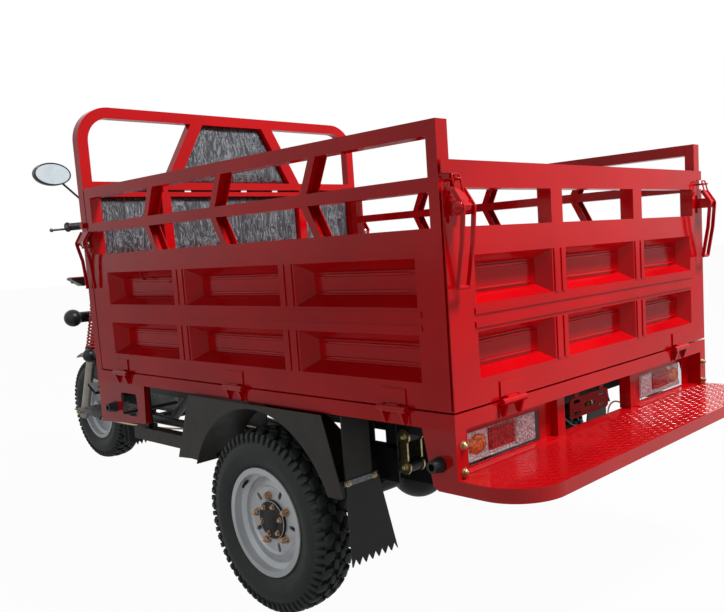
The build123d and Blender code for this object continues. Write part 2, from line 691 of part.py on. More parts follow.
with BuildPart() as battery_box:
    block(box_x, box_y, (350, cross_low))
    fillet(battery_box.edges().filter_by(Axis.Z), radius=15)
finish(battery_box, "battery_box")

with BuildPart() as mudguard_left:
    with BuildSketch(side_plane(guard_in)):
        with Locations((rear_axle_y, wheel_z)):
            Circle(arch_r + sheet)
            Circle(arch_r, mode=Mode.SUBTRACT)
        rect((rear_axle_y - arch_r - 50, rear_axle_y + arch_r + 50),
             (wheel_z - arch_r - 50, wheel_z + 138), Mode.SUBTRACT)
    extrude(amount=guard_x - guard_in)
    with BuildSketch(side_plane(guard_x - sheet)):
        Polygon((rear_axle_y - 338, frame_top - 2), (rear_axle_y - 432, 430), (rear_axle_y - 353, 436),
                (rear_axle_y + 324, 424), (rear_axle_y + 383, 430), (rear_axle_y + 316, frame_top - 2),
                align=None)
        with Locations((rear_axle_y, wheel_z)):
            Circle(arch_r, mode=Mode.SUBTRACT)
    extrude(amount=sheet)
    block((bed_half - 45, bed_half - 5), (rear_axle_y - 40, rear_axle_y + 40),
          (wheel_z + arch_r + 1, frame_top))
    block((guard_in, guard_x), (rear_axle_y + 320, rear_axle_y + 371), (wheel_z + 140, wheel_z + 143))
    block((guard_in + 15, guard_x), (rear_axle_y + 368, rear_axle_y + 371), (wheel_z + 140, wheel_z + 186))
    block((guard_in + 40, guard_in + 80), (stay_y - 79, rear_axle_y - arch_r + 40), (425, 472))
    block((guard_in + 50, guard_in + 70), (stay_y - 15, stay_y + 15), (472, frame_top))
with BuildPart() as mudguards:
    add(mudguard_left.part)
    mirror(mudguard_left.part, about=Plane.YZ)
finish(mudguards, "mudguards")

with BuildPart() as mud_flaps:
    for side in (-1, 1):
        hang_flap(side * (guard_x - 142), side * (guard_x - 20), side * (guard_x - 200),
                  side * (guard_x - 25), rear_axle_y + 371, 228, 462)
        block(sorted((side * (guard_in + 40), side * (guard_x - 20))), (rear_axle_y + 371, rear_axle_y + 376),
              (462, frame_top))
        hang_flap(side * 208, side * 348, side * 208, side * 348, engine_rear - 85, 250, board_z)
    hang_flap(-97, 97, -97, 97, tube_y - 105, 130, 425)
finish(mud_flaps, "mud_flaps")

# ---------------------------------------------------------------- engine, tank, seat and boards
with BuildPart() as engine_block:
    block((-138, 138), (engine_front, engine_rear), (engine_z, 590))
    fillet(engine_block.edges().filter_by(Axis.Z), radius=30)
    bar((0, engine_rear - 325, 560), (0, engine_rear - 390, 735), 58)
    bar((0, *port), (-95, *port), 24)
    for n in range(6):
        low = 600 + 22 * n
        y = engine_rear - 325 - (low - 560) * 65 / 175
        bar((0, y, low), (0, y - 3, low + 8), 76)
finish(engine_block, "engine_block")

with BuildPart() as exhaust:
    pipe(((-95, *port), (-175, *port), (-215, engine_rear - 140, 560), (-330, engine_rear + 90, 440),
          (-330, engine_rear + 170, 430)), 19, 40)
    bar((-330, engine_rear + 160, 430), (-330, bed_front + 298, 430), 50)
    bar((-330, bed_front + 298, 430), (-330, bed_front + 358, 430), 16)
    block((-345, -315), (bed_front + 50, bed_front + 70), (430, cross_low))
finish(exhaust, "exhaust")

with BuildPart() as fuel_tank:
    block((-150, 150), (bed_front - 792, bed_front - 312), (770, 965))
    fillet(fuel_tank.edges().filter_by(Axis.Y).group_by(Axis.Z)[-1], radius=60)
    fillet(fuel_tank.edges().filter_by(Axis.Z), radius=40)
    block((-26, 26), (bed_front - 793, bed_front - 311), (769, 905), Mode.SUBTRACT)
finish(fuel_tank, "fuel_tank")

with BuildPart() as rider_seat:
    block((-170, 170), (bed_front - 282, pad_y[0] - 4), (seat_z, seat_z + 85))
    fillet(rider_seat.edges().group_by(Axis.Z)[-1], radius=18)
finish(rider_seat, "rider_seat")

with BuildPart() as footboards:
    for side in (-1, 1):
        with BuildSketch(Plane.XY.offset(board_z)):
            Polygon((side * 188, engine_rear - 500), (side * 400, engine_rear - 500),
                    (side * 455, engine_rear - 80), (side * 188, engine_rear - 80), align=None)
            with Locations((side * 305, engine_rear - 290)):
                with GridLocations(40, 60, 4, 6):
                    Circle(8, mode=Mode.SUBTRACT)
        extrude(amount=4)
        bar((side * (tube_x - 2.8), tube_y, 470), (side * 252, tube_y - 20, 470), 8)
        with BuildSketch(Plane(origin=(side * 252, tube_y - 30, 464), x_dir=(1, 0, 0),
                               z_dir=(0, 0.5, 0.87))):
            Rectangle(60, 84)
        extrude(amount=10)
finish(footboards, "footboards")

# ---------------------------------------------------------------- wheels
with BuildPart() as tyre:
    with BuildSketch():
        with BuildLine():
            half = rim_half - lip
            tread = tyre_half - 14
            Polyline((-half, lip_r + 4), (-half, seat_r), (half, seat_r), (half, lip_r + 4))
            Spline((half, lip_r + 4), (tyre_half, 218), (tread, tyre_r - 9))
            ThreePointArc((tread, tyre_r - 9), (0, tyre_r), (-tread, tyre_r - 9))
            Spline((-tread, tyre_r - 9), (-tyre_half, 218), (-half, lip_r + 4))
        make_face()
    revolve(axis=Axis.X)

with BuildPart() as rim:
    with BuildSketch():
        flat = 28.0
        slant = 19.0
        wall = 4.0
        Polygon((-rim_half, lip_r), (lip - rim_half, lip_r), (lip - rim_half, seat_r), (-flat, seat_r),
                (-slant, well_r), (slant, well_r), (flat, seat_r), (rim_half - lip, seat_r),
                (rim_half - lip, lip_r), (rim_half, lip_r), (rim_half, seat_r - wall),
                (flat + 2, seat_r - wall), (slant + 2, well_r - wall), (-slant - 2, well_r - wall),
                (-flat - 2, seat_r - wall), (-rim_half, seat_r - wall), align=None)
    revolve(axis=Axis.X)

with BuildPart() as rear_rim:
    add(rim.part)
    with BuildSketch():
        Polygon((4, well_r - 2), (11, well_r - 2), (disc_x + 6, 108), (disc_x, 101),
                (disc_x, spindle_r + play), (disc_x - 6, spindle_r + play), (disc_x - 6, 103),
                (disc_x - 1, 107), align=None)
        Polygon((-60, spindle_r + play), (13, spindle_r + play), (13, 46), (-8, 46), (-8, 106),
                (-60, 106), (-60, 99), (-16, 99), (-16, 46), (-60, 46), align=None)
    revolve(axis=Axis.X)
    with BuildSketch(Plane.YZ.offset(-1)):
        with PolarLocations(slot_at, nut_count, start_angle=nut_turn + 180 / nut_count):
            SlotOverall(28, 13)
    extrude(amount=30, mode=Mode.SUBTRACT)
    with BuildSketch(Plane.YZ.offset(disc_x)):
        Circle(hub_r)
    extrude(amount=hub_out)
    with BuildSketch(Plane.YZ.offset(disc_x - 1)):
        Circle(spindle_r + play)
    extrude(amount=4, mode=Mode.SUBTRACT)
    with BuildSketch(Plane.YZ.offset(disc_x)):
        with PolarLocations(nut_at, nut_count, start_angle=nut_turn):
            RegularPolygon(11, 6)
    extrude(amount=14)

with BuildPart() as front_rim:
    add(rim.part)
    with BuildSketch():
        Polygon((-60, axle_r + play), (60, axle_r + play), (60, 42), (6, 42), (6, well_r - 2),
                (0, well_r - 2), (0, 42), (-60, 42), align=None)
    revolve(axis=Axis.X)
    with BuildSketch(Plane.YZ.offset(-5)):
        with PolarLocations(96, 6):
            SlotOverall(46, 20, rotation=90)
    extrude(amount=20, mode=Mode.SUBTRACT)
rear_left = Pos(rear_wheel_x, rear_axle_y, wheel_z)
rear_right = Pos(-rear_wheel_x, rear_axle_y, wheel_z)
front_spot = Pos(0, front_axle_y, wheel_z)
with BuildPart() as rear_tyre_left:
    add(rear_left * tyre.part)
finish(rear_tyre_left, "rear_tyre_left")
with BuildPart() as rear_rim_left:
    add(rear_left * rear_rim.part)
finish(rear_rim_left, "rear_rim_left")
with BuildPart() as rear_tyre_right:
    add(rear_right * tyre.part)
finish(rear_tyre_right, "rear_tyre_right")
with BuildPart() as rear_rim_right:
    add(mirror(rear_left * rear_rim.part, about=Plane.YZ, mode=Mode.PRIVATE))
finish(rear_rim_right, "rear_rim_right")
with BuildPart() as front_tyre:
    add(front_spot * tyre.part)
finish(front_tyre, "front_tyre")
with BuildPart() as front_wheel_rim:
    add(front_spot * front_rim.part)
finish(front_wheel_rim, "front_rim")

# ---------------------------------------------------------------- steering
with BuildPart() as fork_yokes:
    for s in (yoke_low, yoke_high):
        with BuildSketch(steer.offset(s[0])):
            for side in (-1, 1):
                with BuildLine():
                    Line((0, 0), (side * fork_x, -fork_offset))
                trace(line_width=40)
                with Locations((side * fork_x, -fork_offset)):
                    Circle(26)
            Circle(30)
            rect((-60, 60), (-fork_offset - 22, 0))
            for side in (-1, 1):
                with Locations((side * fork_x, -fork_offset)):
                    Circle(stem_r, mode=Mode.SUBTRACT)
        extrude(amount=s[1] - s[0])
    with BuildSketch(steer.offset(yoke_low[1])):
        Circle(stem_r)
    extrude(amount=yoke_high[0] - yoke_low[1])
    with BuildSketch(steer.offset(yoke_high[1])):
        with Locations((riser_x, 0), (-riser_x, 0)):
            Circle(riser_r)
    extrude(amount=45)
finish(fork_yokes, "fork_yokes")

ball_x = fork_x + 47
ball = fork_point(18, 682)
stub_in = fork_point(-fork_offset, 640)
with BuildPart() as fork_legs:
    with BuildSketch(steer.offset(255)):
        with Locations((fork_x, -fork_offset), (-fork_x, -fork_offset)):
            Circle(23)
    extrude(amount=405)
    with BuildSketch(steer.offset(660)):
        with Locations((fork_x, -fork_offset), (-fork_x, -fork_offset)):
            Circle(36)
    extrude(amount=20)
    with BuildSketch(steer.offset(680)):
        with Locations((fork_x, -fork_offset), (-fork_x, -fork_offset)):
            Circle(stem_r)
    extrude(amount=yoke_high[1] - 680)
    bar((-fork_x - 35, front_axle_y, wheel_z), (fork_x + 35, front_axle_y, wheel_z), axle_r)
    for side in (-1, 1):
        bar((side * 62, front_axle_y, wheel_z), (side * fork_x, front_axle_y, wheel_z), 16)
        bar((side * fork_x, *stub_in), (side * ball_x, *ball), 12)
finish(fork_legs, "fork_legs")

with BuildPart() as fork_springs:
    with BuildSketch(steer.offset(680)):
        with Locations((fork_x, -fork_offset), (-fork_x, -fork_offset)):
            Circle(33)
            Circle(stem_r, mode=Mode.SUBTRACT)
    extrude(amount=yoke_low[0] - 680)
finish(fork_springs, "fork_springs")

bumper = fork_point(-130, 834)
with BuildPart() as front_bumper:
    bar((-180, *bumper), (180, *bumper), 28)
    with Locations((-206, *bumper), (206, *bumper)):
        Sphere(45)
    for side in (-1, 1):
        with BuildSketch(side_plane(side * 50 - 5)):
            Polygon(fork_point(-fork_offset - 22, yoke_low[0]), fork_point(-fork_offset - 22, yoke_low[1]),
                    fork_point(-140, 850), fork_point(-120, 830), align=None)
        extrude(amount=10)
    for side in (-1, 1):
        with Locations((side * ball_x, *ball)):
            Sphere(35)
        bar((side * fork_x, *stub_in), (side * ball_x, *ball), 12 + play, Mode.SUBTRACT)
finish(front_bumper, "front_bumper")

fender_stay = fork_point(-fork_offset, axle_along + fender_r + sheet / 2)
with BuildPart() as front_fender:
    with BuildSketch(side_plane(-tyre_half - 8)):
        with BuildLine():
            CenterArc((front_axle_y, wheel_z), fender_r + sheet / 2, 25, 93)
        trace(line_width=sheet)
    extrude(amount=2 * tyre_half + 16)
    for side in (-1, 1):
        bar((side * (tyre_half + 2), *fender_stay), (side * (fork_x - 23), *fender_stay), 9)
finish(front_fender, "front_fender")

with BuildPart() as headlight_cowl:
    with BuildSketch(side_plane(-110)):
        Polygon(fork_point(-fork_offset - stem_r, 1000), fork_point(-fork_offset - stem_r, 1140),
                fork_point(-110, 1165), fork_point(-190, 1130), fork_point(-200, 1030),
                fork_point(-150, 985), align=None)
    extrude(amount=220)
    fillet(headlight_cowl.edges().filter_by(Axis.X).group_by(Axis.Y)[0], radius=20)
    with BuildSketch(steer.offset(1030)):
        for side in (-1, 1):
            rect(sorted((side * 105, side * (fork_x + 16))),
                 (-fork_offset - stem_r - 6, -fork_offset - stem_r))
    extrude(amount=80)
finish(headlight_cowl, "headlight_cowl")

spot = fork_point(-123, 1047)
with BuildPart() as front_indicators:
    for side in (-1, 1):
        bar((side * 110, *spot), (side * 160, *spot), 10)
        with BuildSketch(cross_plane(spot[0] + 30)):
            Polygon(*[(side * x, spot[1] + z) for x, z in
                      ((150, -16), (190, -24), (246, 12), (246, 21), (150, 21))], align=None)
        extrude(amount=60)
finish(front_indicators, "front_indicators")

grip_in = Vector(185, steer_foot_y + 595, 1278)
grip_out = Vector(362, steer_foot_y + 625, 1266)
lever_x = 232.0
lever_y = steer_foot_y + 583


def on_grip(side, part_way):
    """A point on the straight end of the handlebar, 0 at the bend and 1 at the tip."""
    p = grip_in + (grip_out - grip_in) * part_way
    return (side * p.X, p.Y, p.Z)


clamp = fork_point(0, yoke_high[1] + 45)
with BuildPart() as handlebar:
    pipe((on_grip(-1, 1), on_grip(-1, 0), (-110, clamp[0], clamp[1]),
          (110, clamp[0], clamp[1]), on_grip(1, 0), on_grip(1, 1)), bar_r, 45)
    for side in (-1, 1):
        with BuildSketch(steer.offset(yoke_high[1])) as riser:
            with Locations((side * riser_x, 0)):
                Circle(riser_r + play)
        extrude(amount=45 + play, mode=Mode.SUBTRACT)
finish(handlebar, "handlebar")

with BuildPart() as grips:
    for side in (-1, 1):
        bar(on_grip(side, 0.35), on_grip(side, 1), 18)
        bar(on_grip(side, 0.93), on_grip(side, 1), 23)
        bar(on_grip(side, 0.35), on_grip(side, 1), bar_r, Mode.SUBTRACT)
finish(grips, "grips")

with BuildPart() as lever_left:
    block((lever_x - 10, lever_x + 10), (lever_y - 12, lever_y + 8), (1260, 1285))
    bar(on_grip(1, 0.2), on_grip(1, 0.34), 17)
    bar(on_grip(1, 0.2), on_grip(1, 0.34), bar_r, Mode.SUBTRACT)
    pipe(((lever_x, lever_y, 1268), (lever_x + 52, lever_y - 32, 1264), (412, lever_y - 8, 1256)), 5, 20)
    with Locations((414, lever_y - 7.8, 1255.9)):
        Sphere(9)
with BuildPart() as hand_levers:
    add(lever_left.part)
    mirror(lever_left.part, about=Plane.YZ)
finish(hand_levers, "hand_levers")

with BuildPart() as mirrors:
    for side in (-1, 1):
        pipe(((side * lever_x, lever_y, 1285), (side * lever_x, lever_y, 1373),
              (side * 364, lever_y - 8, 1500)), 5, 30)
        with BuildSketch(end_plane(lever_y - 16)):
            with Locations((-side * 386, 1516)):
                Ellipse(86, 53)
        extrude(amount=22)
finish(mirrors, "mirrors")
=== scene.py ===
"""Looks of a motor cargo tricycle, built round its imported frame.

The frame holds every load-bearing piece at its true size. This file adds what the eye reads on
the real machine: tread lugs, wheel nuts, coil springs, cut lamp lenses, stuffed pads in their
clear wrapping, the tread of the step, bolts and leads, and the finish of every surface.
"""
import json
from math import pi, radians

import bpy
import numpy as np
from mathutils import Euler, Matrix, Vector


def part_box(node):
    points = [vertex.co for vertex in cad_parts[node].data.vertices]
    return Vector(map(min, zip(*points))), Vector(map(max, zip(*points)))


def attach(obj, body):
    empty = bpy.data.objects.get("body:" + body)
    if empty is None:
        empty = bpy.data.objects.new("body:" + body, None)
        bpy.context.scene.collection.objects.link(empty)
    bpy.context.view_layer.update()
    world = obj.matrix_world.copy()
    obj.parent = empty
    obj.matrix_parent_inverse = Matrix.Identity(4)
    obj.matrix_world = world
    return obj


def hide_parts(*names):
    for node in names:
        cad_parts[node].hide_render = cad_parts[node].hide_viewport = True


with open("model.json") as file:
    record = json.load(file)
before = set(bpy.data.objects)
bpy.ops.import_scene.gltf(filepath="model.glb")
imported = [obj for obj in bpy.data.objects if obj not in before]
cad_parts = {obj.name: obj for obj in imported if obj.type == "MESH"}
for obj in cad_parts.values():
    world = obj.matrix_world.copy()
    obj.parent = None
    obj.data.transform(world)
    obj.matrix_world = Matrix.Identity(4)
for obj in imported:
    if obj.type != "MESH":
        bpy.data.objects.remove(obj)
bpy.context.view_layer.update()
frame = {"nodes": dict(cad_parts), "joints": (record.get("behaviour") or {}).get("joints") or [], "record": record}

MM = 0.001


def mm(*values):
    """Lengths given in millimetres, as an array in metres."""
    return np.array(values, float) * MM


# ---------------------------------------------------------------- sizes read from the frame
def corners(node):
    """Lowest and highest corner of a frame node, as arrays."""
    low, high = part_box(node)
    return np.array(low), np.array(high)


def joint(name):
    """Place and direction of a joint's axis, as arrays."""
    found = next(j for j in frame["joints"] if j["name"] == name)
    return np.array(found["pos_m"], float), np.array(found["axis"], float)


bed_low, bed_high = corners("bed_frame")
bed_half, bed_front, bed_rear = bed_high[0], bed_low[1], bed_high[1]
tyre_low, tyre_high = corners("rear_tyre_left")
tyre_r = (tyre_high[2] - tyre_low[2]) / 2
tyre_half = (tyre_high[0] - tyre_low[0]) / 2
wheels = {
    "rear_wheel_left": ((tyre_low + tyre_high) / 2, 1, "rear_tyre_left"),
    "rear_wheel_right": ((tyre_low + tyre_high) / 2 * (-1, 1, 1), -1, "rear_tyre_right"),
    "front_wheel": (sum(corners("front_tyre")) / 2, 1, "front_tyre"),
}
step_low, step_high = corners("rear_step")
lamp_low, lamp_high = corners("tail_lamps")
pads_low, pads_high = corners("backrest_pads")
seat_low, seat_high = corners("rider_seat")
shackle_low, shackle_high = corners("spring_shackles")
flap_face = corners("mud_flaps")[1][1]
steer_at, steer_up = joint("steering")
steer_back = np.array((0, steer_up[2], -steer_up[1]))


# ---------------------------------------------------------------- camera
camera = bpy.data.objects.new("camera", bpy.data.cameras.new("camera"))
bpy.context.scene.collection.objects.link(camera)
camera.location = (2.0746, 2.8061, 1.0900)
camera.rotation_euler = Euler([radians(a) for a in (83.3316, 3.62726, 133.40182)], "XYZ")
camera.data.lens = 40.254
camera.data.shift_x = -0.05803
camera.data.shift_y = 0.04416
bpy.context.scene.camera = camera


# ---------------------------------------------------------------- materials
def linear(code, alpha=1.0):
    """A colour written as an sRGB hex value, in linear light."""
    part = [int(code[i : i + 2], 16) / 255 for i in (1, 3, 5)]
    return (*[c / 12.92 if c <= 0.04045 else ((c + 0.055) / 1.055) ** 2.4 for c in part], alpha)


def add(tree, kind, inputs=None, **settings):
    """One shader node: settings are its properties, and inputs gives each named input a socket or a value."""
    node = tree.nodes.new(kind)
    for name, value in settings.items():
        setattr(node, name, value)
    for name, value in (inputs or {}).items():
        socket = node.inputs[name]
        if isinstance(value, bpy.types.NodeSocket):
            tree.links.new(value, socket)
        else:
            socket.default_value = value
    return node


def finish_of(name, **shader):
    """A new material, its node tree and its shader, whose own sockets take the plain values."""
    material = bpy.data.materials.new(name)
    material.use_nodes = True
    tree = material.node_tree
    surface = tree.nodes["Principled BSDF"]
    for socket, value in shader.items():
        surface.inputs[socket.replace("_", " ")].default_value = value
    return material, tree, surface


def place(tree, scale):
    """Object coordinates in metres, scaled: a scale of 1 / 0.02 repeats a pattern every 20 mm."""
    where = add(tree, "ShaderNodeTexCoord")
    return add(tree, "ShaderNodeMapping", {"Vector": where.outputs["Object"], "Scale": scale}).outputs["Vector"]


def cloud(tree, size, detail=3.0, roughness=0.55):
    """Soft noise whose patches are about size metres across."""
    return add(tree, "ShaderNodeTexNoise", {"Vector": place(tree, (1 / size,) * 3), "Scale": 1.0,
                                            "Detail": detail, "Roughness": roughness}).outputs["Fac"]


def ramp(tree, fac, stops):
    """Colours by position, each stop a position and a hex colour."""
    node = add(tree, "ShaderNodeValToRGB", {"Fac": fac})
    line = node.color_ramp
    while len(line.elements) < len(stops):
        line.elements.new(0.5)
    for element, (at, colour) in zip(line.elements, stops):
        element.position, element.color = at, linear(colour)
    return node.outputs["Color"]


def between(tree, fac, low, high):
    """A number that goes from low to high as fac goes from 0 to 1."""
    return add(tree, "ShaderNodeMapRange", {"Value": fac, "To Min": low, "To Max": high}).outputs["Result"]


def relief(tree, surface, height, depth, under=None):
    """Bumps of a height field, depth metres from its lowest to its highest value, on the shader's normal."""
    inputs = {"Height": height, "Distance": depth, "Strength": 1.0}
    if under is not None:
        inputs["Normal"] = under
    bump = add(tree, "ShaderNodeBump", inputs)
    tree.links.new(bump.outputs["Normal"], surface.inputs["Normal"])
    return bump.outputs["Normal"]


def red_enamel(name, deep, bright, coat):
    """Stoving enamel sprayed on pressed sheet steel: a wet gloss with the faint waviness of the sheet and
    the orange peel of the spray, drawn 6 mm across so that it shows, and a thin film of dust."""
    material, tree, surface = finish_of(name, IOR=1.5, Specular_IOR_Level=0.14, Coat_Weight=coat,
                                        Coat_Roughness=0.02)
    tone = cloud(tree, 0.35, 2)
    tree.links.new(ramp(tree, tone, ((0.3, deep), (0.7, bright))), surface.inputs["Base Color"])
    dust = cloud(tree, 0.05, 5, 0.7)
    tree.links.new(between(tree, dust, 0.06, 0.2), surface.inputs["Roughness"])
    wave = relief(tree, surface, cloud(tree, 0.2, 1), 0.0016)
    relief(tree, surface, cloud(tree, 0.006, 1), 0.00002, wave)
    return material


red_bed = red_enamel("red_stoving_enamel", "#B0030B", "#C4050F", 0.07)
# the step and skirt enamel is a slightly darker copy of the bed's, darkened to offset the stronger light on the
# step's top: painted shade
red_step_painted_shade = red_enamel("red_enamel_on_tread_plate", "#A8060D", "#BE0912", 0.2)
# a darker copy of the red enamel for the plate bracket, the bulkhead panel and the hoop's backing strips: painted
# shade
red_enamel_painted_shade = red_enamel("red_enamel_with_painted_shade", "#7A050C", "#8A070E", 0.04)


def satin_paint(name, dark, light, rough, grain=0.004, depth=0.00006, metallic=0.0):
    """Sprayed paint or bright metal on rolled steel and tube: a soft broken sheen, dust in patches, and a
    grain that is drawn grain metres across, 4 mm on paint, where the real one is under 1 mm."""
    material, tree, surface = finish_of(name, Metallic=metallic, Specular_IOR_Level=0.5 if metallic else 0.25)
    tree.links.new(ramp(tree, cloud(tree, 0.09, 4, 0.65), ((0.32, dark), (0.7, light))),
                   surface.inputs["Base Color"])
    tree.links.new(between(tree, cloud(tree, 0.03, 4), rough - 0.08, rough + 0.12),
                   surface.inputs["Roughness"])
    relief(tree, surface, cloud(tree, grain, 2), depth)
    return material


black_paint = satin_paint("black_chassis_paint", "#0D0E0F", "#191A1C", 0.42)
guard_paint = satin_paint("olive_grey_guard_paint", "#25231F", "#34312D", 0.46)
wheel_silver = satin_paint("silver_wheel_paint", "#C8CCD0", "#D4D8DC", 0.3, 0.03, 0.00001, 0.15)
bar_chrome = satin_paint("bright_chrome_plate", "#A8AAAC", "#C4C6C8", 0.16, 0.02, 0.00001, 1.0)
leg_alloy = satin_paint("drawn_aluminium_tube", "#8E8A82", "#A9A59C", 0.36, 0.003, 0.00002, 0.7)
spring_paint = satin_paint("red_spring_paint", "#C01F18", "#E02E24", 0.28, 0.004, 0.00002)
pipe_steel = satin_paint("aluminised_exhaust_steel", "#6F6A64", "#8F8A82", 0.34, 0.004, 0.00004, 0.9)


def cast_metal(name, dark, light, rough):
    """Die cast alloy, left as cast: a dull grey with a pitted skin, pits drawn 3 mm apart to show."""
    material, tree, surface = finish_of(name, Metallic=0.85, Roughness=rough)
    tree.links.new(ramp(tree, cloud(tree, 0.03, 4), ((0.3, dark), (0.7, light))),
                   surface.inputs["Base Color"])
    relief(tree, surface, cloud(tree, 0.003, 2, 0.6), 0.0002)
    return material


engine_alloy = cast_metal("die_cast_engine_alloy", "#47484A", "#6A6B6D", 0.42)


def plated(name, dark, light, rough=0.3):
    """Zinc plate with a chromate dip on steel: patchy straw, copper or grey tints in a satin metal."""
    material, tree, surface = finish_of(name, Metallic=1.0, Roughness=rough)
    tree.links.new(ramp(tree, cloud(tree, 0.008, 3, 0.6), ((0.3, dark), (0.7, light))),
                   surface.inputs["Base Color"])
    relief(tree, surface, cloud(tree, 0.002, 2), 0.00004)
    return material


copper_zinc = plated("chromated_zinc_nuts", "#8C6A50", "#CBA98C", 0.34)
yellow_zinc = plated("yellow_zinc_plate", "#857A55", "#BDB189")
grey_zinc = plated("grey_zinc_strip", "#4A4E52", "#6E7276", 0.4)


def moulded_rubber(name, dark, light, rough, grain, depth):
    """Black rubber pressed in a steel mould: nearly matt, with a dusty bloom and the mould's fine grain."""
    material, tree, surface = finish_of(name, IOR=1.52, Specular_IOR_Level=0.3)
    tree.links.new(ramp(tree, cloud(tree, 0.04, 5, 0.7), ((0.3, dark), (0.72, light))),
                   surface.inputs["Base Color"])
    tree.links.new(between(tree, cloud(tree, 0.02, 3), rough - 0.08, rough + 0.08),
                   surface.inputs["Roughness"])
    relief(tree, surface, cloud(tree, grain, 2), depth)
    return material


tyre_rubber = moulded_rubber("tyre_tread_rubber", "#1A1C1D", "#2A2D2E", 0.6, 0.003, 0.00015)
soft_rubber = moulded_rubber("moulded_rubber_buffer", "#131517", "#202326", 0.36, 0.004, 0.00005)
flap_rubber = moulded_rubber("rubber_flap_sheet", "#0E0D0D", "#181716", 0.55, 0.006, 0.0002)


def moulded_plastic(name, dark, light, rough):
    """Injection-moulded plastic: an even colour, a smooth low sheen and a fine spark-eroded grain, 1.5 mm."""
    material, tree, surface = finish_of(name, IOR=1.53)
    tree.links.new(ramp(tree, cloud(tree, 0.06, 2), ((0.3, dark), (0.7, light))),
                   surface.inputs["Base Color"])
    tree.links.new(between(tree, cloud(tree, 0.02, 2), rough - 0.05, rough + 0.05),
                   surface.inputs["Roughness"])
    relief(tree, surface, cloud(tree, 0.0015, 1), 0.00003)
    return material


black_plastic = moulded_plastic("black_moulded_abs", "#0D0E10", "#17181B", 0.3)
orange_lens = moulded_plastic("orange_acrylic_lens", "#D8521C", "#F06A2A", 0.12)
lead_sheath = moulded_plastic("grey_pvc_lead_sheath", "#3A3D38", "#5A5D55", 0.4)
beige_sheath = moulded_plastic("beige_pvc_sheath", "#B9A98C", "#D6C8AC", 0.4)


def wrapped_vinyl():
    """Charcoal leathercloth under a loose clear film. The cloth has a 3 mm pebble grain; the film lies in
    long shrunk creases, about 20 mm apart, bumped and painted pale along their ridges as white streaks: partly the
    film's own whitening, partly a painted highlight of the sky."""
    material, tree, surface = finish_of("leathercloth_in_clear_film", IOR=1.46, Roughness=0.32,
                                        Coat_Weight=0.7, Coat_Roughness=0.12, Coat_IOR=1.5)
    apart, long = 0.021, 0.12
    swirl = add(tree, "ShaderNodeTexNoise", {"Vector": place(tree, (9, 9, 7)), "Scale": 1.0, "Detail": 2.0})
    bent = add(tree, "ShaderNodeVectorMath", {0: swirl.outputs["Color"], "Scale": 2.6}, operation="SCALE")
    long_way = add(tree, "ShaderNodeVectorMath", {0: place(tree, (1 / apart, 1 / apart, 1 / long)),
                                                  1: bent.outputs["Vector"]}, operation="ADD")
    crease = add(tree, "ShaderNodeTexNoise", {"Vector": long_way.outputs["Vector"], "Scale": 1.0, "Detail": 6.0,
                                              "Roughness": 0.66, "Distortion": 1.4}).outputs["Fac"]
    fold = add(tree, "ShaderNodeMath", {0: crease, 1: 0.5}, operation="SUBTRACT")
    fold = add(tree, "ShaderNodeMath", {0: fold.outputs[0]}, operation="ABSOLUTE").outputs[0]
    ridge = between(tree, fold, 1.0, -14.0)
    # the crease ridges are painted pale: partly the film's whitening, partly a painted highlight of the sky
    film_whitening_and_painted_highlight = ramp(tree, ridge, ((0.0, "#283037"), (0.5, "#3A434B"), (0.85, "#6C7781"), (1.0, "#AEB6BD")))
    tree.links.new(film_whitening_and_painted_highlight, surface.inputs["Base Color"])
    sheet_folds = relief(tree, surface, ridge, 0.0012)
    relief(tree, surface, cloud(tree, 0.0035, 2), 0.00012, sheet_folds)
    return material


pad_cover = wrapped_vinyl()


def mirror_glass():
    """Silvered float glass: nearly perfect metal reflection with a trace of dust."""
    material, tree, surface = finish_of("silvered_mirror_glass", Metallic=1.0)
    tree.links.new(ramp(tree, cloud(tree, 0.03, 2), ((0.3, "#C9D3D8"), (0.7, "#D6DFE3"))),
                   surface.inputs["Base Color"])
    tree.links.new(between(tree, cloud(tree, 0.01, 3), 0.02, 0.06), surface.inputs["Roughness"])
    return material


def cut_lens(name, dark, light, cut, rough=0.08):
    """Moulded acrylic with cut facets on its back: cells about cut metres wide that flash light and dark, bumped,
    and painted light in their middles and dark at their edges as painted glints and painted shade.
    """
    material, tree, surface = finish_of(name, IOR=1.49, Roughness=rough, Coat_Weight=0.25, Coat_Roughness=0.03)
    cells = add(tree, "ShaderNodeTexVoronoi", {"Vector": place(tree, (1 / cut,) * 3), "Scale": 1.0},
                feature="F1", distance="CHEBYCHEV")
    # each cell is painted light in its middle and dark at its edge: painted glints and painted shade of the cut
    # facets
    tree.links.new(ramp(tree, cells.outputs["Distance"], ((0.15, light), (0.62, dark))),
                   surface.inputs["Base Color"])
    relief(tree, surface, cells.outputs["Distance"], cut * 0.35)
    return material


silvered_plastic = cut_lens("silvered_reflector_plastic", "#A3989D", "#FBF4F7", 0.007, 0.16)
amber_lens = cut_lens("amber_acrylic_lens", "#A83402", "#FF8A1C", 0.008)
red_lens = cut_lens("red_acrylic_lens", "#840006", "#E60A14", 0.006)


def clear_cover():
    """Clear moulded polycarbonate: thin, colourless, with a trace of mould flow that bends reflections. The
    IOR is below the 1.58 of the plastic, so that the white sky in it doesn't wash out the lenses behind."""
    material, tree, surface = finish_of("clear_polycarbonate_cover", IOR=1.12, Transmission_Weight=1.0,
                                        Roughness=0.03)
    surface.inputs["Base Color"].default_value = linear("#FBF6F7")
    relief(tree, surface, cloud(tree, 0.012, 1), 0.0001)
    return material


lamp_cover = clear_cover()
glass_mirror = mirror_glass()

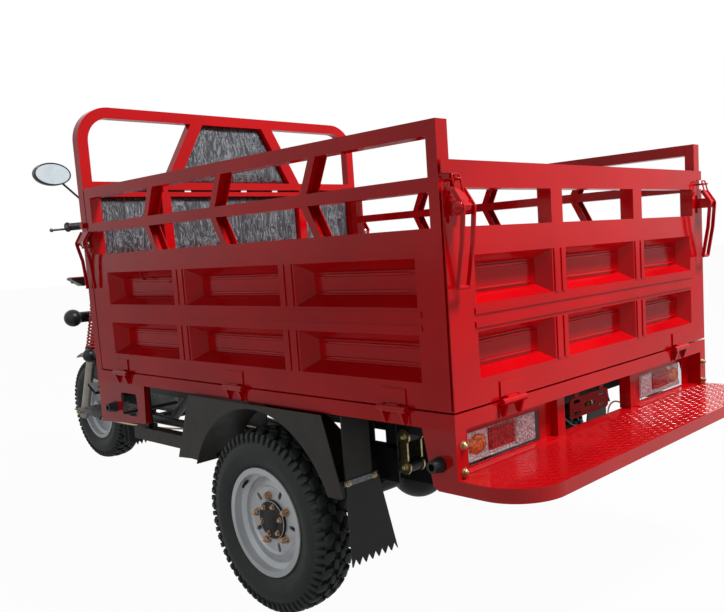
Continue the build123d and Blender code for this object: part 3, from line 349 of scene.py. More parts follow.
frame_finish = {
    "red_enamel": red_bed, "black_paint": black_paint, "guard_grey": guard_paint, "rubber": soft_rubber,
    "vinyl": pad_cover, "tyre": tyre_rubber, "rim_silver": wheel_silver, "zinc": yellow_zinc,
    "lamp_plastic": silvered_plastic, "engine_alloy": engine_alloy, "bright_steel": bar_chrome,
    "spring_red": spring_paint, "black_plastic": black_plastic,
}
own_finish = {
    "rear_step": red_step_painted_shade, "skirt_plates": red_step_painted_shade, "mud_flaps": flap_rubber, "fork_legs": leg_alloy,
    "exhaust": pipe_steel, "front_indicators": black_plastic, "headlight_cowl": red_bed,
    "plate_bracket": red_enamel_painted_shade, "bulkhead_panel": red_enamel_painted_shade,
}
for part in frame["record"]["subparts"]:
    mesh = frame["nodes"][part["node"]].data
    mesh.materials.clear()
    mesh.materials.append(own_finish.get(part["node"], frame_finish[part["material_slot"]]))


# ---------------------------------------------------------------- shapes, as arrays of points and faces
def skin(points, around=False, along=False):
    """Quads between the neighbouring rows and columns of a grid of points, closed round its columns or rows."""
    rows, columns = points.shape[:2]
    index = np.arange(rows * columns).reshape(rows, columns)
    if along:
        index = np.vstack([index, index[:1]])
    if around:
        index = np.hstack([index, index[:, :1]])
    quads = np.stack([index[:-1, :-1], index[1:, :-1], index[1:, 1:], index[:-1, 1:]], -1).reshape(-1, 4)
    return points.reshape(-1, 3), quads, np.empty((0, 3), int)


def together(*shapes):
    """Several shapes as one list of points and faces."""
    starts = np.cumsum([0] + [len(s[0]) for s in shapes[:-1]])
    return (np.vstack([s[0] for s in shapes]),
            np.vstack([s[1] + n for s, n in zip(shapes, starts)]),
            np.vstack([s[2] + n for s, n in zip(shapes, starts)]))


def outward(shape):
    """A closed shape with its faces turned out: the sum of a . (b x c) over its triangles is six times its
    volume, and is negative where they point in."""
    points, quads, triangles = shape
    every = np.vstack([quads[:, [0, 1, 2]], quads[:, [0, 2, 3]], triangles])
    a, b, c = (points[every[:, k]] for k in range(3))
    if np.einsum("ij,ij->", a - points.mean(0), np.cross(b - points.mean(0), c - points.mean(0))) < 0:
        return points, quads[:, ::-1], triangles[:, ::-1]
    return shape


def capped(rings):
    """A closed skin over rings of points: quads from ring to ring, and a fan to the middle of each end ring."""
    count, steps = rings.shape[:2]
    points, quads, _ = skin(rings, around=True)
    ring = np.arange(steps)
    after = np.roll(ring, -1)
    last = (count - 1) * steps
    fans = np.vstack([np.stack([ring, after, np.full(steps, count * steps)], -1),
                      np.stack([last + after, last + ring, np.full(steps, count * steps + 1)], -1)])
    return outward((np.vstack([points, rings[[0, -1]].mean(1)]), quads, fans))


def turned(profile, steps=40, corners_round=0):
    """A profile of radius and height turned about Z: x = r cos t, y = r sin t, z = h. With corners_round, the
    radius is that of a flat-sided bar: r / cos of the angle from the nearest flat."""
    profile = np.asarray(profile, float)
    t = np.arange(steps) * 2 * pi / steps
    reach = np.ones(steps)
    if corners_round:
        reach = 1 / np.cos((t + pi / corners_round) % (2 * pi / corners_round) - pi / corners_round)
    return capped(np.stack([profile[:, :1] * reach * np.cos(t), profile[:, :1] * reach * np.sin(t),
                            np.repeat(profile[:, 1:], steps, 1)], -1))


def turned_ring(profile, steps=64):
    """A closed profile of radius and height turned about Z into a ring."""
    profile = np.asarray(profile, float)
    t = np.arange(steps) * 2 * pi / steps
    grid = np.stack([profile[:, :1] * np.cos(t), profile[:, :1] * np.sin(t),
                     np.repeat(profile[:, 1:], steps, 1)], -1)
    return outward(skin(grid, around=True, along=True))


def unit(vectors):
    """Vectors scaled to a length of 1."""
    vectors = np.asarray(vectors, float)
    return vectors / np.linalg.norm(vectors, axis=-1, keepdims=True)


def placed(shape, origins, across=(1, 0, 0), up=(0, 0, 1)):
    """Copies of a shape at origins: its own Z goes along up and its own X along across, squared to up."""
    points, quads, triangles = shape
    origins = np.atleast_2d(np.asarray(origins, float))
    z = np.broadcast_to(unit(up), origins.shape)
    x = np.broadcast_to(unit(across), origins.shape)
    x = unit(x - z * np.sum(x * z, -1, keepdims=True))
    axes = np.stack([x, np.cross(z, x), z], 1)
    moved = np.einsum("pi,kij->kpj", points, axes) + origins[:, None]
    step = (np.arange(len(origins)) * len(points))[:, None, None]
    return (moved.reshape(-1, 3), (quads[None] + step).reshape(-1, quads.shape[1]),
            (triangles[None] + step).reshape(-1, 3))


def smooth_line(corners_of_line, count):
    """Points of a Catmull-Rom curve through some corners: each stretch is the cubic whose slope at a corner
    is half the step between that corner's neighbours."""
    p = np.asarray(corners_of_line, float)
    p = np.vstack([2 * p[0] - p[1], p, 2 * p[-1] - p[-2]])
    at = np.linspace(0, len(p) - 3 - 1e-9, count)
    k = at.astype(int)
    t = (at - k)[:, None]
    a, b, c, d = p[k], p[k + 1], p[k + 2], p[k + 3]
    return 0.5 * (2 * b + (c - a) * t + (2 * a - 5 * b + 4 * c - d) * t ** 2 + (3 * b - a - 3 * c + d) * t ** 3)


def carried(line, profile, lift=(0, 0, 1), scale=None):
    """A profile carried along a line: at each point, its first number goes sideways, square to the line and
    to lift, and its second goes up, square to both. Scale is its size at each point."""
    line, profile = np.asarray(line, float), np.asarray(profile, float)
    ahead = unit(np.gradient(line, axis=0))
    side = unit(np.cross(ahead, np.broadcast_to(lift, line.shape)))
    up = np.cross(side, ahead)
    size = np.ones(len(line)) if scale is None else np.asarray(scale, float)
    rings = line[:, None] + size[:, None, None] * (profile[None, :, :1] * side[:, None]
                                                   + profile[None, :, 1:] * up[:, None])
    return capped(rings)


def circle(radius, steps=12):
    """Points round a circle."""
    t = np.arange(steps) * 2 * pi / steps
    return radius * np.stack([np.cos(t), np.sin(t)], -1)


def rod(line, radius, lift=(0, 0, 1), steps=12):
    """A round bar along a line."""
    return carried(line, circle(radius, steps), lift)


def drawn_in(outline, by):
    """An outline, walked anticlockwise, with each side moved in by a distance: each corner moves along its
    bisector by that distance over the cosine of half the turn."""
    before = unit(outline - np.roll(outline, 1, 0))
    after = unit(np.roll(outline, -1, 0) - outline)
    inner = np.stack([-before[:, 1] - after[:, 1], before[:, 0] + after[:, 0]], -1)
    return outline + by * inner / (1 + np.sum(before * after, -1, keepdims=True))


def slab(outline, low, high, edge):
    """A plate with its outline in X and Y and its edges broken by 45-degree chamfers."""
    outline = np.asarray(outline, float)
    small = drawn_in(outline, edge)
    rings = [np.hstack([o, np.full((len(o), 1), z)])
             for o, z in ((small, low), (outline, low + edge), (outline, high - edge), (small, high))]
    return capped(np.array(rings))


def oblong(x, y, corner, steps=4):
    """A rectangle between two values on each axis with round corners, walked anticlockwise."""
    t = np.linspace(0, pi / 2, steps)
    quarter = np.stack([np.cos(t), np.sin(t)], -1) * corner
    turns = [quarter, quarter[:, ::-1] * (-1, 1), -quarter, quarter[:, ::-1] * (1, -1)]
    spots = ((x[1] - corner, y[1] - corner), (x[0] + corner, y[1] - corner),
             (x[0] + corner, y[0] + corner), (x[1] - corner, y[0] + corner))
    return np.vstack([q + s for q, s in zip(turns, spots)])


def bolt(across, head, washer=0.0, stud=0.0):
    """A hexagon head or nut standing on Z = 0, across its flats wide and head high, with its chamfered top, a
    washer under it and a stud through it."""
    flat = across / 2
    shapes = [turned([(flat, washer), (flat, washer + head * 0.82), (flat * 0.86, washer + head)], 18, 6)]
    if washer:
        shapes.append(turned([(across * 0.72, 0), (across * 0.72, washer * 0.8), (across * 0.66, washer)], 18))
    if stud:
        top = washer + head
        shapes.append(turned([(across * 0.3, top - 0.001), (across * 0.3, top + stud * 0.7),
                              (across * 0.22, top + stud)], 12))
    return together(*shapes)


def piece(name, shape, material, body, sharp=35):
    """One mesh object from a shape, shaded smooth up to an angle, riding on a body."""
    points, quads, triangles = shape
    mesh = bpy.data.meshes.new(name)
    mesh.from_pydata(points.tolist(), [], quads.tolist() + triangles.tolist())
    mesh.validate()
    mesh.shade_smooth()
    mesh.set_sharp_from_angle(angle=radians(sharp))
    mesh.materials.append(material)
    thing = bpy.data.objects.new(name, mesh)
    bpy.context.scene.collection.objects.link(thing)
    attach(thing, body)
    return thing


def mirrored(shape):
    """A shape's mirror image across X = 0, its faces turned back out."""
    points, quads, triangles = shape
    return points * (-1, 1, 1), quads[:, ::-1], triangles[:, ::-1]


def both_sides(shape):
    """A shape and its mirror image across X = 0."""
    return together(shape, mirrored(shape))


def shifted(shape, by):
    """A shape moved by a vector."""
    return (shape[0] + by, *shape[1:])


def stood(shape, y):
    """A shape drawn in X and Z stood up at y: its own Y goes up and its own Z goes to the rear."""
    points, quads, triangles = shape
    return points[:, [0, 2, 1]] + (0, y, 0), quads[:, ::-1], triangles[:, ::-1]


def on_side(shape, x):
    """A shape drawn in Y and Z stood up at x: its own X goes to Y, its own Y goes up, its own Z to +X."""
    points, quads, triangles = shape
    return points[:, [2, 0, 1]] + (x, 0, 0), quads, triangles


# ---------------------------------------------------------------- tyres
lug_deep = 13 * MM
shoulder = tyre_half - 14 * MM
outer_line = smooth_line([(0, tyre_r), (shoulder * 0.6, tyre_r - 3 * MM), (shoulder, tyre_r - 9 * MM),
                          (tyre_half - 6 * MM, tyre_r - 20 * MM), (tyre_half - 2 * MM, tyre_r - 38 * MM),
                          (tyre_half - 0.5 * MM, tyre_r - 62 * MM)], 90)
outer_walk = np.concatenate([[0], np.cumsum(np.linalg.norm(np.diff(outer_line, axis=0), axis=1))])


def tread_point(walk, arc, depth):
    """A point of the tread over the axle, walk metres from the middle of the tyre along its outer line, arc
    metres round it, and depth metres in along the line's own normal."""
    spot = np.stack([np.interp(walk, outer_walk, outer_line[:, k]) for k in (0, 1)], -1)
    slope = unit(np.stack([np.interp(walk, outer_walk, np.gradient(outer_line[:, k])) for k in (0, 1)], -1))
    x = spot[..., 0] + depth * slope[..., 1]
    r = spot[..., 1] - depth * slope[..., 0]
    return np.stack(np.broadcast_arrays(x, r * np.sin(arc / tyre_r), r * np.cos(arc / tyre_r)), -1)


def lug(stations, half_wide, top, foot, lean):
    """A rubber block: six points of a chamfered section carried across the tyre, each station with its own
    half width, height of top and foot, and slant round the tyre."""
    w, a, t, f = (np.asarray(v, float)[:, None] * MM for v in (stations, half_wide, top, foot))
    across = np.array((-1, -1, -0.86, 0.86, 1, 1)) * a + mm(-1.2, 0, 0, 0, 0, 1.2) + lean * (w - w.mean())
    deep = np.hstack([f, t + 1.6 * MM, t, t, t + 1.6 * MM, f])
    return capped(tread_point(np.repeat(w, 6, 1), across, deep))


def tyre_shape():
    """A cross-ply tyre: a casing turned from a smooth section with fine rings on its wall, under three rows of
    blocks on each side of the middle line: staggered centre blocks, large outer blocks and shoulder teeth."""
    seat = tyre_r - 129 * MM
    wall = smooth_line([(0, tyre_r - lug_deep), (shoulder * 0.6, tyre_r - 16 * MM),
                        (shoulder - 5 * MM, tyre_r - 22 * MM),
                        (tyre_half - 11 * MM, tyre_r - 31 * MM), (tyre_half - 6 * MM, tyre_r - 45 * MM),
                        (tyre_half - 0.5 * MM, tyre_r - 66 * MM), (tyre_half - 5 * MM, tyre_r - 88 * MM),
                        (tyre_half - 14 * MM, tyre_r - 106 * MM), (tyre_half - 18.5 * MM, tyre_r - 114 * MM),
                        (tyre_half - 18.5 * MM, seat)], 84)
    for at, high, wide in ((-52, 1.3, 1.6), (-57, 0.8, 1.2), (-97, 1.6, 2.0), (-104, 1.2, 1.6)):
        wall[:, 0] += high * MM * np.exp(-((wall[:, 1] - tyre_r - at * MM) / (wide * MM)) ** 2)
    section = np.vstack([wall[::-1] * (-1, 1), wall[1:]])
    casing = turned_ring(section[:, ::-1], 96)
    casing = on_side(casing, 0)
    blocks = 32
    outer = lug((22, 26, 34, 43, 50, 54), (12, 15, 17, 17.5, 16.5, 14), (1, 0, 0, 0, 0, 0.6), (14.5,) * 6, 0.3)
    centre = lug((2, 5, 12, 17, 19.5), (13, 16, 17, 16, 12), (1, 0, 0, 0, 1), (14.5,) * 5, -0.5)
    tooth = lug((50, 55, 62, 70, 78, 86), (7, 7.6, 7.6, 7, 6.2, 5), (1, 0, 0, 0.4, 1.2, 2.6),
                (15, 15, 14, 11, 8, 5), 0.1)
    shapes = [casing]
    for shape, count, start in ((outer, blocks, 0.0), (centre, blocks, 0.5), (tooth, 2 * blocks, 0.25)):
        for half, shift in ((shape, start), (mirrored(shape), start + 0.5)):
            turn = (np.arange(count) + shift) * 2 * pi / count
            up = np.stack([np.zeros(count), np.sin(turn), np.cos(turn)], -1)
            shapes.append(placed(half, np.zeros((count, 3)), (1, 0, 0), up))
    return together(*shapes)


tyre = tyre_shape()
for body, (centre, side, node) in wheels.items():
    rubber = piece(node.replace("tyre", "tread_tyre"), shifted(tyre if side > 0 else mirrored(tyre), centre),
                   tyre_rubber, body, 40)
    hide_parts(node)


# ---------------------------------------------------------------- wheel nuts, hubs and valves
disc_x = 18 * MM            # outer face of a rear wheel's disc, from the middle of the tyre
hub_screw_x = disc_x + 11 * MM
rear_nut, rear_nut_circle, rear_nut_start = bolt(*mm(19.8, 15, 1.4, 6)), 75 * MM, radians(28)
hub_screw, hub_screw_circle = bolt(*mm(12, 7, 1.4)), 46 * MM
front_nut, front_nut_circle, front_nut_x = bolt(*mm(15, 9, 1.6, 5)), 62 * MM, 6 * MM
hub_cover = turned(mm((60.8, 0), (60.8, 8), (57, 11), (34, 11.6), (31, 15), (24, 17.5), (10, 18.5)), 48)


def round_axle(centre, side, along, radius, count, start):
    """Places on a circle round an axle: along metres out from the middle of the wheel."""
    t = start + np.arange(count) * 2 * pi / count
    return centre + np.stack([np.full(count, side * along), radius * np.cos(t), radius * np.sin(t)], -1)


for body, (centre, side, node) in wheels.items():
    across, out = (0, 1, 0), (side, 0, 0)
    if "rear" in body:
        circle_of_five = round_axle(centre, side, disc_x, rear_nut_circle, 5, rear_nut_start)
        nuts = placed(rear_nut, circle_of_five, across, out)
        piece(body + "_nuts", nuts, copper_zinc, body, 30)
        piece(body + "_hub_cover", placed(hub_cover, centre + (side * disc_x, 0, 0), across, out),
              black_paint, body)
        screws = placed(hub_screw, round_axle(centre, side, hub_screw_x, hub_screw_circle, 6, 0.2), across, out)
        piece(body + "_hub_bolts", screws, copper_zinc, body, 30)
        stem = mm((26, -104, 106), (34, -102, 104), (46, -98, 100), (56, -92, 95)) * (side, 1, 1) + centre
    else:
        nuts = placed(front_nut, round_axle(centre, side, front_nut_x, front_nut_circle, 5, 0.3), across, out)
        piece("front_wheel_nuts", nuts, yellow_zinc, body, 30)
        stem = mm((26, 104, 106), (34, 102, 104), (44, 98, 100), (50, 95, 96)) + centre
    rubber_stem = rod(smooth_line(stem, 10), 4.2 * MM, (0, 0.3, 1))
    collar = carried(smooth_line(stem[1:3], 6), circle(5 * MM, 12), (0, 0.3, 1), (0.9, 1, 1, 1, 1, 0.9))
    piece(body + "_valve", together(rubber_stem, collar), soft_rubber, body)


# ---------------------------------------------------------------- fork: coil springs, rings and boots
def by_fork(x, back, along):
    """A point beside the steering axis: x to the left, back metres behind the axis, and along metres up it
    from the joint's place."""
    return steer_at + steer_up * along + steer_back * back + np.array((x, 0, 0))


fork_x = corners("fork_springs")[1][0] - 33 * MM
fork_back = -47.5 * MM
spring_foot, spring_head, end_gap = mm(-385, -125, 5)
turns, coil_r, wire_r = 13, 29.5 * MM, 4.9 * MM
t = np.linspace(0, 1, turns * 18)
climb = spring_foot + end_gap + t * (spring_head - spring_foot - 2 * end_gap)
coil = (by_fork(fork_x, fork_back, 0) + steer_up * climb[:, None]
        + coil_r * (np.cos(2 * pi * turns * t)[:, None] * np.array((1, 0, 0))
                    + np.sin(2 * pi * turns * t)[:, None] * steer_back))
left_coil = rod(coil, wire_r, steer_up, 8)
springs = piece("fork_coil_springs", together(left_coil, shifted(left_coil, (-2 * fork_x, 0, 0))),
                spring_paint, "front_fork", 60)
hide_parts("fork_springs")

seat_ring = turned(mm((34, 0), (36, 2), (36, 7), (32, 9)), 32)
boot = turned(mm((30, 0), (33, 3), (33, 15), (27, 22), (19, 25)), 32)
rings = [placed(shape, [by_fork(s * fork_x, fork_back, at) for s in (-1, 1)], (1, 0, 0), steer_up)
         for shape, at in ((seat_ring, spring_foot), (seat_ring, spring_head - 9 * MM),
                           (boot, spring_foot - 46 * MM))]
piece("fork_spring_seats", together(*rings), black_paint, "front_fork")
axle_end_x = 148 * MM
axle_nuts = placed(bolt(*mm(26, 14, 3, 8)),
                   [(s * axle_end_x, wheels["front_wheel"][0][1], tyre_r) for s in (-1, 1)],
                   (0, 1, 0), [(s, 0, 0) for s in (-1, 1)])
piece("front_axle_nuts", axle_nuts, yellow_zinc, "front_fork", 30)


# ---------------------------------------------------------------- bolts and small hardware of the bed
flange_bolts = placed(bolt(*mm(15, 7, 1.8, 4)),
                      [(s * 660 * MM, bed_rear, z * MM) for s in (-1, 1) for z in (614, 550)],
                      (1, 0, 0), (0, 1, 0))
piece("corner_flange_bolts", flange_bolts, yellow_zinc, "chassis", 30)

strip_z = mm(455, 471)
strip_thick = 3 * MM
strip = slab(oblong(mm(570, 690), strip_z, 3 * MM), 0, strip_thick, 0.6 * MM)
piece("flap_clamp_strips", both_sides(stood(strip, flap_face)), grey_zinc, "chassis", 30)
flap_bolts = placed(bolt(*mm(12, 6, 1.5, 3)),
                    [(s * x * MM, flap_face + strip_thick, strip_z.mean())
                     for s in (-1, 1) for x in (582, 678)],
                    (1, 0, 0), (0, 1, 0))
piece("flap_bolts", flap_bolts, yellow_zinc, "chassis", 30)

shackle_y = (shackle_low[1] + shackle_high[1]) / 2
shackle_nuts = [placed(bolt(*mm(15, 7, 1.5, 3)), [(s * 511 * MM, shackle_y, z * MM) for z in (475, 561)],
                       (0, 1, 0), (s, 0, 0)) for s in (-1, 1)]
piece("shackle_nuts", together(*shackle_nuts), yellow_zinc, "chassis", 30)

axle_y = wheels["rear_wheel_left"][0][1]
hoop_y = axle_y + mm(-34, 34)
tie_low, tie_high = mm(243, 250)
bend = smooth_line(mm((450, 236), (449, 300), (449, 356), (453, 374), (480, 378), (507, 374), (511, 356),
                      (511, 300), (510, 236)), 60)
hoops = [rod(np.insert(bend, 1, y, axis=1), 6 * MM, (0, 1, 0)) for y in hoop_y]
hoop_nuts = placed(bolt(*mm(17, 9, 2)), [(x * MM, y, tie_low) for x in (450, 510) for y in hoop_y],
                   (1, 0, 0), (0, 0, -1))
tie = slab(oblong(mm(430, 530), axle_y + mm(-50, 50), 8 * MM), tie_low, tie_high, 1 * MM)
piece("spring_u_bolts", both_sides(together(*hoops, hoop_nuts, tie)), black_paint, "chassis")


def plate(wide, high, corner, thick, edge):
    """A flat plate with round corners, every size in millimetres: its two ends across and up, its corners'
    radius, its thickness and the chamfer of its edges."""
    return slab(oblong(mm(*wide), mm(*high), corner * MM), 0, thick * MM, edge * MM)


backing = [plate(ends, (1348, 1364), 1, 3, 0.5)
           for ends in ((-643, -238), (-208, -70), (-40, 40), (70, 208), (238, 643))]
piece("hoop_backing_strips", stood(together(*backing), bed_front + 3 * MM), red_enamel_painted_shade, "chassis")

hanger = [plate((y0, y1), (z0, z1), 5, 5, 1)
          for y0, y1, z0, z1 in ((1128, 1252, 424, 536), (1128, 1162, 520, 648), (1208, 1252, 520, 648),
                                 (455, 655, 448, 576))]
piece("spring_hanger_plates", both_sides(on_side(together(*hanger), 505 * MM)), black_paint, "chassis")
side_tube = rod(mm((560, -104, 490), (560, 100, 490), (560, 300, 492), (560, 520, 492)), 15 * MM)
piece("side_tubes", both_sides(side_tube), black_paint, "chassis")


def lead(name, route, diameter, sheath):
    """A free lead: one NURBS curve through chosen points, both of whose ends go into the machine."""
    curve = bpy.data.curves.new(name, "CURVE")
    curve.dimensions, curve.bevel_depth, curve.bevel_resolution = "3D", diameter / 2, 4
    line = curve.splines.new("NURBS")
    line.points.add(len(route) - 1)
    for point, spot in zip(line.points, route):
        point.co = (*spot, 1)
    line.order_u = 3
    line.use_endpoint_u = True
    line.resolution_u = 12
    curve.materials.append(sheath)
    thing = bpy.data.objects.new(name, curve)
    bpy.context.scene.collection.objects.link(thing)
    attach(thing, "chassis")


lead("lamp_lead_beige",
     mm((-112, 1556, 503), (-112, 1554, 530), (-126, 1553, 556), (-160, 1552, 562), (-196, 1551, 550),
        (-240, 1550, 541), (-286, 1551, 556)), 5 * MM, beige_sheath)
lead("plate_lamp_lead",
     mm((186, 1558, 588), (160, 1556, 574), (124, 1555, 562), (92, 1554, 538), (58, 1553, 528),
        (20, 1553, 522), (-6, 1555, 506)), 4 * MM, lead_sheath)


# ---------------------------------------------------------------- pressed beads, rope hooks and latch rivets
# the gates' recesses, in millimetres: their rows from foot to top, and their columns
rows = ((759, 872), (938, 1053))
side_columns = ((10, 451), (524, 1006), (1075, 1522))
tail_columns = ((-582, -255), (-189, 189), (255, 582))
bead = circle(4.5 * MM, 12)


def recess_beads(columns, along_y, slope, back):
    """Half-round beads pressed along the back sheet of each recess, near its top and its foot, their ends
    run out. In millimetres, slope is how far the recess's walls lean in, and back is where its back sheet
    stands."""
    stations = 14
    from_end = np.minimum(np.arange(stations), np.arange(stations)[::-1])
    size = np.clip(from_end * 0.7 + 0.15, 0, 1)
    shapes = []
    for low, high in columns:
        for foot, top in rows:
            for z in (foot + slope + 8, top - slope - 8):
                run = np.linspace(low + slope + 9, high - slope - 9, stations)
                flat, deep = np.full(stations, z), np.full(stations, back)
                line = np.stack([deep, run, flat] if along_y else [run, deep, flat], -1) * MM
                shapes.append(carried(line, bead, (0, 0, 1), size))
    return together(*shapes)


side_beads = recess_beads(side_columns, True, 27.4, 638.0)
piece("side_beads_left", side_beads, red_bed, "side_gate_left", 60)
piece("side_beads_right", mirrored(side_beads), red_bed, "side_gate_right", 60)
piece("tailgate_beads", recess_beads(tail_columns, False, 23.4, 1576.7), red_bed, "tailgate", 60)

hook_line = smooth_line(mm((674, 1056), (672, 1046), (669, 1034), (663, 1025), (656, 1024), (652, 1030)), 24)
hook = rod(np.insert(hook_line, 1, 224 * MM, axis=1), 3 * MM, (0, 1, 0), 10)
rivet = placed(bolt(*mm(10, 4, 1.5)), mm(637.5, 354, 1014), (0, 1, 0), (1, 0, 0))
left_hooks = together(hook, rivet)
piece("rope_hooks_left", left_hooks, red_bed, "side_gate_left")
piece("rope_hooks_right", mirrored(left_hooks), red_bed, "side_gate_right")

latch_z = 1161 * MM
dome = turned(mm((15.6, 0), (15.4, 3), (13.5, 6.6), (9.5, 9.4), (4, 11)), 28)
front_dome = placed(dome, (709 * MM, -81.5 * MM, latch_z), (1, 0, 0), (0, 1, 0))
piece("front_latch_rivet_left", front_dome, bar_chrome, "side_gate_left")
piece("front_latch_rivet_right", mirrored(front_dome), bar_chrome, "side_gate_right")
rear_dome = placed(dome, (673.5 * MM, bed_rear + 36 * MM, latch_z), (0, 1, 0), (1, 0, 0))
piece("rear_latch_rivets", both_sides(rear_dome), red_bed, "tailgate")


# ---------------------------------------------------------------- tread of the step
lozenge = slab(mm((-9.5, 0), (-5.5, -2.3), (5.5, -2.3), (9.5, 0), (5.5, 2.3), (-5.5, 2.3)),
               -0.6 * MM, 0.9 * MM, 0.5 * MM)
tread_pitch, step_corner, tread_margin = mm(19, 130, 12)
gx, gy = np.meshgrid(np.arange(step_low[0] + 14 * MM, step_high[0] - tread_margin, tread_pitch),
                     np.arange(step_high[1] - 14 * MM, bed_rear - 10 * MM, -tread_pitch), indexing="ij")
lean_right = (np.add(*np.indices(gx.shape)) % 2 == 0).ravel()
at = np.stack([gx.ravel(), gy.ravel(), np.full(gx.size, step_high[2])], -1)
past = np.stack([np.abs(at[:, 0]) - (step_high[0] - step_corner), at[:, 1] - (step_high[1] - step_corner)], -1)
kept = (past.min(1) < 0) | (np.linalg.norm(past, axis=1) < step_corner - tread_margin)
along = np.where(lean_right[:, None], (0.7071, 0.7071, 0), (0.7071, -0.7071, 0))
piece("step_tread", placed(lozenge, at[kept], along[kept], (0, 0, 1)), red_step_painted_shade, "chassis", 20)


# ---------------------------------------------------------------- tail lamps
lens_x = mm(287, 589)
lens_z = np.array((lamp_low[2] + 6 * MM, lamp_high[2] - 9 * MM))
panel_face = lamp_high[1] - 3 * MM
amber_x, red_x, clear_x = mm((503, 578), (389, 496), (294, 382))
amber_z, red_z = 584 * MM, mm(558, 614)

housing = stood(slab(oblong(lens_x, lens_z, 6 * MM), 0, 18 * MM, 1.5 * MM), panel_face - 30 * MM)
rib_y = panel_face - 10 * MM
clear_ribs = [rod([(x, rib_y, lens_z[0] + 6 * MM), (x, rib_y, lens_z[1] - 6 * MM)], 4.6 * MM, (0, 1, 0), 10)
              for x in np.arange(clear_x[0] + 5 * MM, clear_x[1], 9.6 * MM)]
foot_ribs = [rod([(x, panel_face - 11 * MM, z) for x in (lens_x[0] + 100 * MM, lens_x[1] - 4 * MM)],
                 3.6 * MM, (0, 1, 0), 10) for z in lens_z[0] + mm(5, 12)]
piece("lamp_reflectors", both_sides(together(housing, *clear_ribs, *foot_ribs)), silvered_plastic, "chassis",
      25)

round_gem, quads, triangles = turned(mm((30, 0), (30, 3), (25, 7), (16, 10), (6, 11.5)), 9)
gem = stood((round_gem * (1.22, 0.88, 1), quads, triangles), panel_face - 12 * MM)
piece("amber_lenses", both_sides(shifted(gem, (amber_x.mean(), 0, amber_z))), amber_lens, "chassis",
      5)

block = stood(slab(oblong(red_x, red_z, 2 * MM), 0, 8 * MM, 1 * MM), panel_face - 13 * MM)
gx, gz = np.meshgrid(np.linspace(*(red_x + mm(9, -9)), 8), np.linspace(*(red_z + mm(8, -8)), 4))
dots = placed(turned(mm((5.4, 0), (5, 2.2), (3.4, 4.2), (1.4, 5)), 10),
              np.stack([gx.ravel(), np.full(gx.size, panel_face - 5 * MM), gz.ravel()], -1),
              (1, 0, 0), (0, 1, 0))
piece("red_lenses", both_sides(together(block, dots)), red_lens, "chassis", 25)

shell = stood(slab(oblong(lens_x, lens_z, 6 * MM), 0, 3.2 * MM, 1 * MM), panel_face + 0.4 * MM)
covers = piece("lamp_covers", both_sides(shell), lamp_cover, "chassis")
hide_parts("tail_lamps")


# ---------------------------------------------------------------- mirrors, indicators and head lamp
mirror_at = np.array((386 * MM, corners("mirrors")[1][1], 1516 * MM))
mirror_wide, mirror_high = mm(80, 47)
t = np.arange(48) * 2 * pi / 48
oval = np.stack([np.cos(t) * mirror_wide, np.sin(t) * mirror_high], -1)


def tipped(shape, behind=-1.0):
    """A mirror's shape tipped up towards the sky: y grows by a tenth of the drop below its top edge, for points
    that are not further back than behind."""
    points = shape[0]
    lean = np.where(points[:, 1:2] > behind, (mirror_high - points[:, 2:]) * 0.1, 0)
    return (points + lean * (0, 1, 0) + mirror_at, *shape[1:])


glass = stood(slab(oval, 0, 1.2 * MM, 0.4 * MM), 0)
piece("mirror_glasses", both_sides(tipped(glass)), glass_mirror, "front_fork")
wedge = tipped(stood(slab(oval * 1.01, -6 * MM, 0, 0.4 * MM), 0), -3 * MM)
piece("mirror_wedges", both_sides(wedge), black_plastic, "front_fork")
round_rim, quads, triangles = turned_ring(
    np.stack([83.5 + 3.4 * np.cos(t[::4]), 3.0 * np.sin(t[::4])], -1) * MM, 56)
rim = stood((round_rim * (1, 0.615, 1), quads, triangles), 0)
piece("mirror_rims", both_sides(tipped(rim)), black_plastic, "front_fork")

winker_low, winker_high = corners("front_indicators")
winker_y = (winker_low[1] + winker_high[1]) / 2
top = slab(oblong(mm(154, 243), winker_y + mm(-27, 27), 8 * MM), winker_high[2] - 3 * MM,
           winker_high[2] + 4 * MM, 2 * MM)
front_lens = stood(slab(oblong(mm(158, 226), winker_high[2] + mm(-30, -6), 6 * MM), -3 * MM, 1 * MM, 1 * MM),
                   winker_low[1])
piece("indicator_lenses", both_sides(together(top, front_lens)), orange_lens, "front_fork")

lamp_at = by_fork(0, -195 * MM, 17 * MM)
bowl = turned(mm((70, -6), (72, 0), (70, 6), (64, 8), (62, 5)), 48)
piece("head_lamp_ring", placed(bowl, lamp_at, (1, 0, 0), -steer_back), bar_chrome, "front_fork")
lens = turned(mm((63, 4), (56, 9), (40, 13), (20, 15.5), (6, 16)), 48)
piece("head_lamp_lens", placed(lens, lamp_at, (1, 0, 0), -steer_back), silvered_plastic, "front_fork")


# ---------------------------------------------------------------- grips
grip_in, grip_out = mm((185, -1023, 1278), (362, -993, 1266))
start = grip_in + 0.35 * (grip_out - grip_in)
long = np.linalg.norm(grip_out - start)
h = np.linspace(0.002, 0.9, 60)
ribs = np.stack([(17.2 + 0.9 * np.sign(np.sin(h * 60)) * np.abs(np.sin(h * 60)) ** 0.5) * MM, h * long], -1)
grip_line = np.vstack([(14 * MM, 0), ribs, (22.5 * MM, 0.93 * long), (23 * MM, 0.97 * long), (21 * MM, long)])
grip = placed(turned(grip_line, 24), start, (0, 0, 1), grip_out - grip_in)
grips = piece("ribbed_grips", both_sides(grip), soft_rubber, "front_fork", 50)
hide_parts("grips")


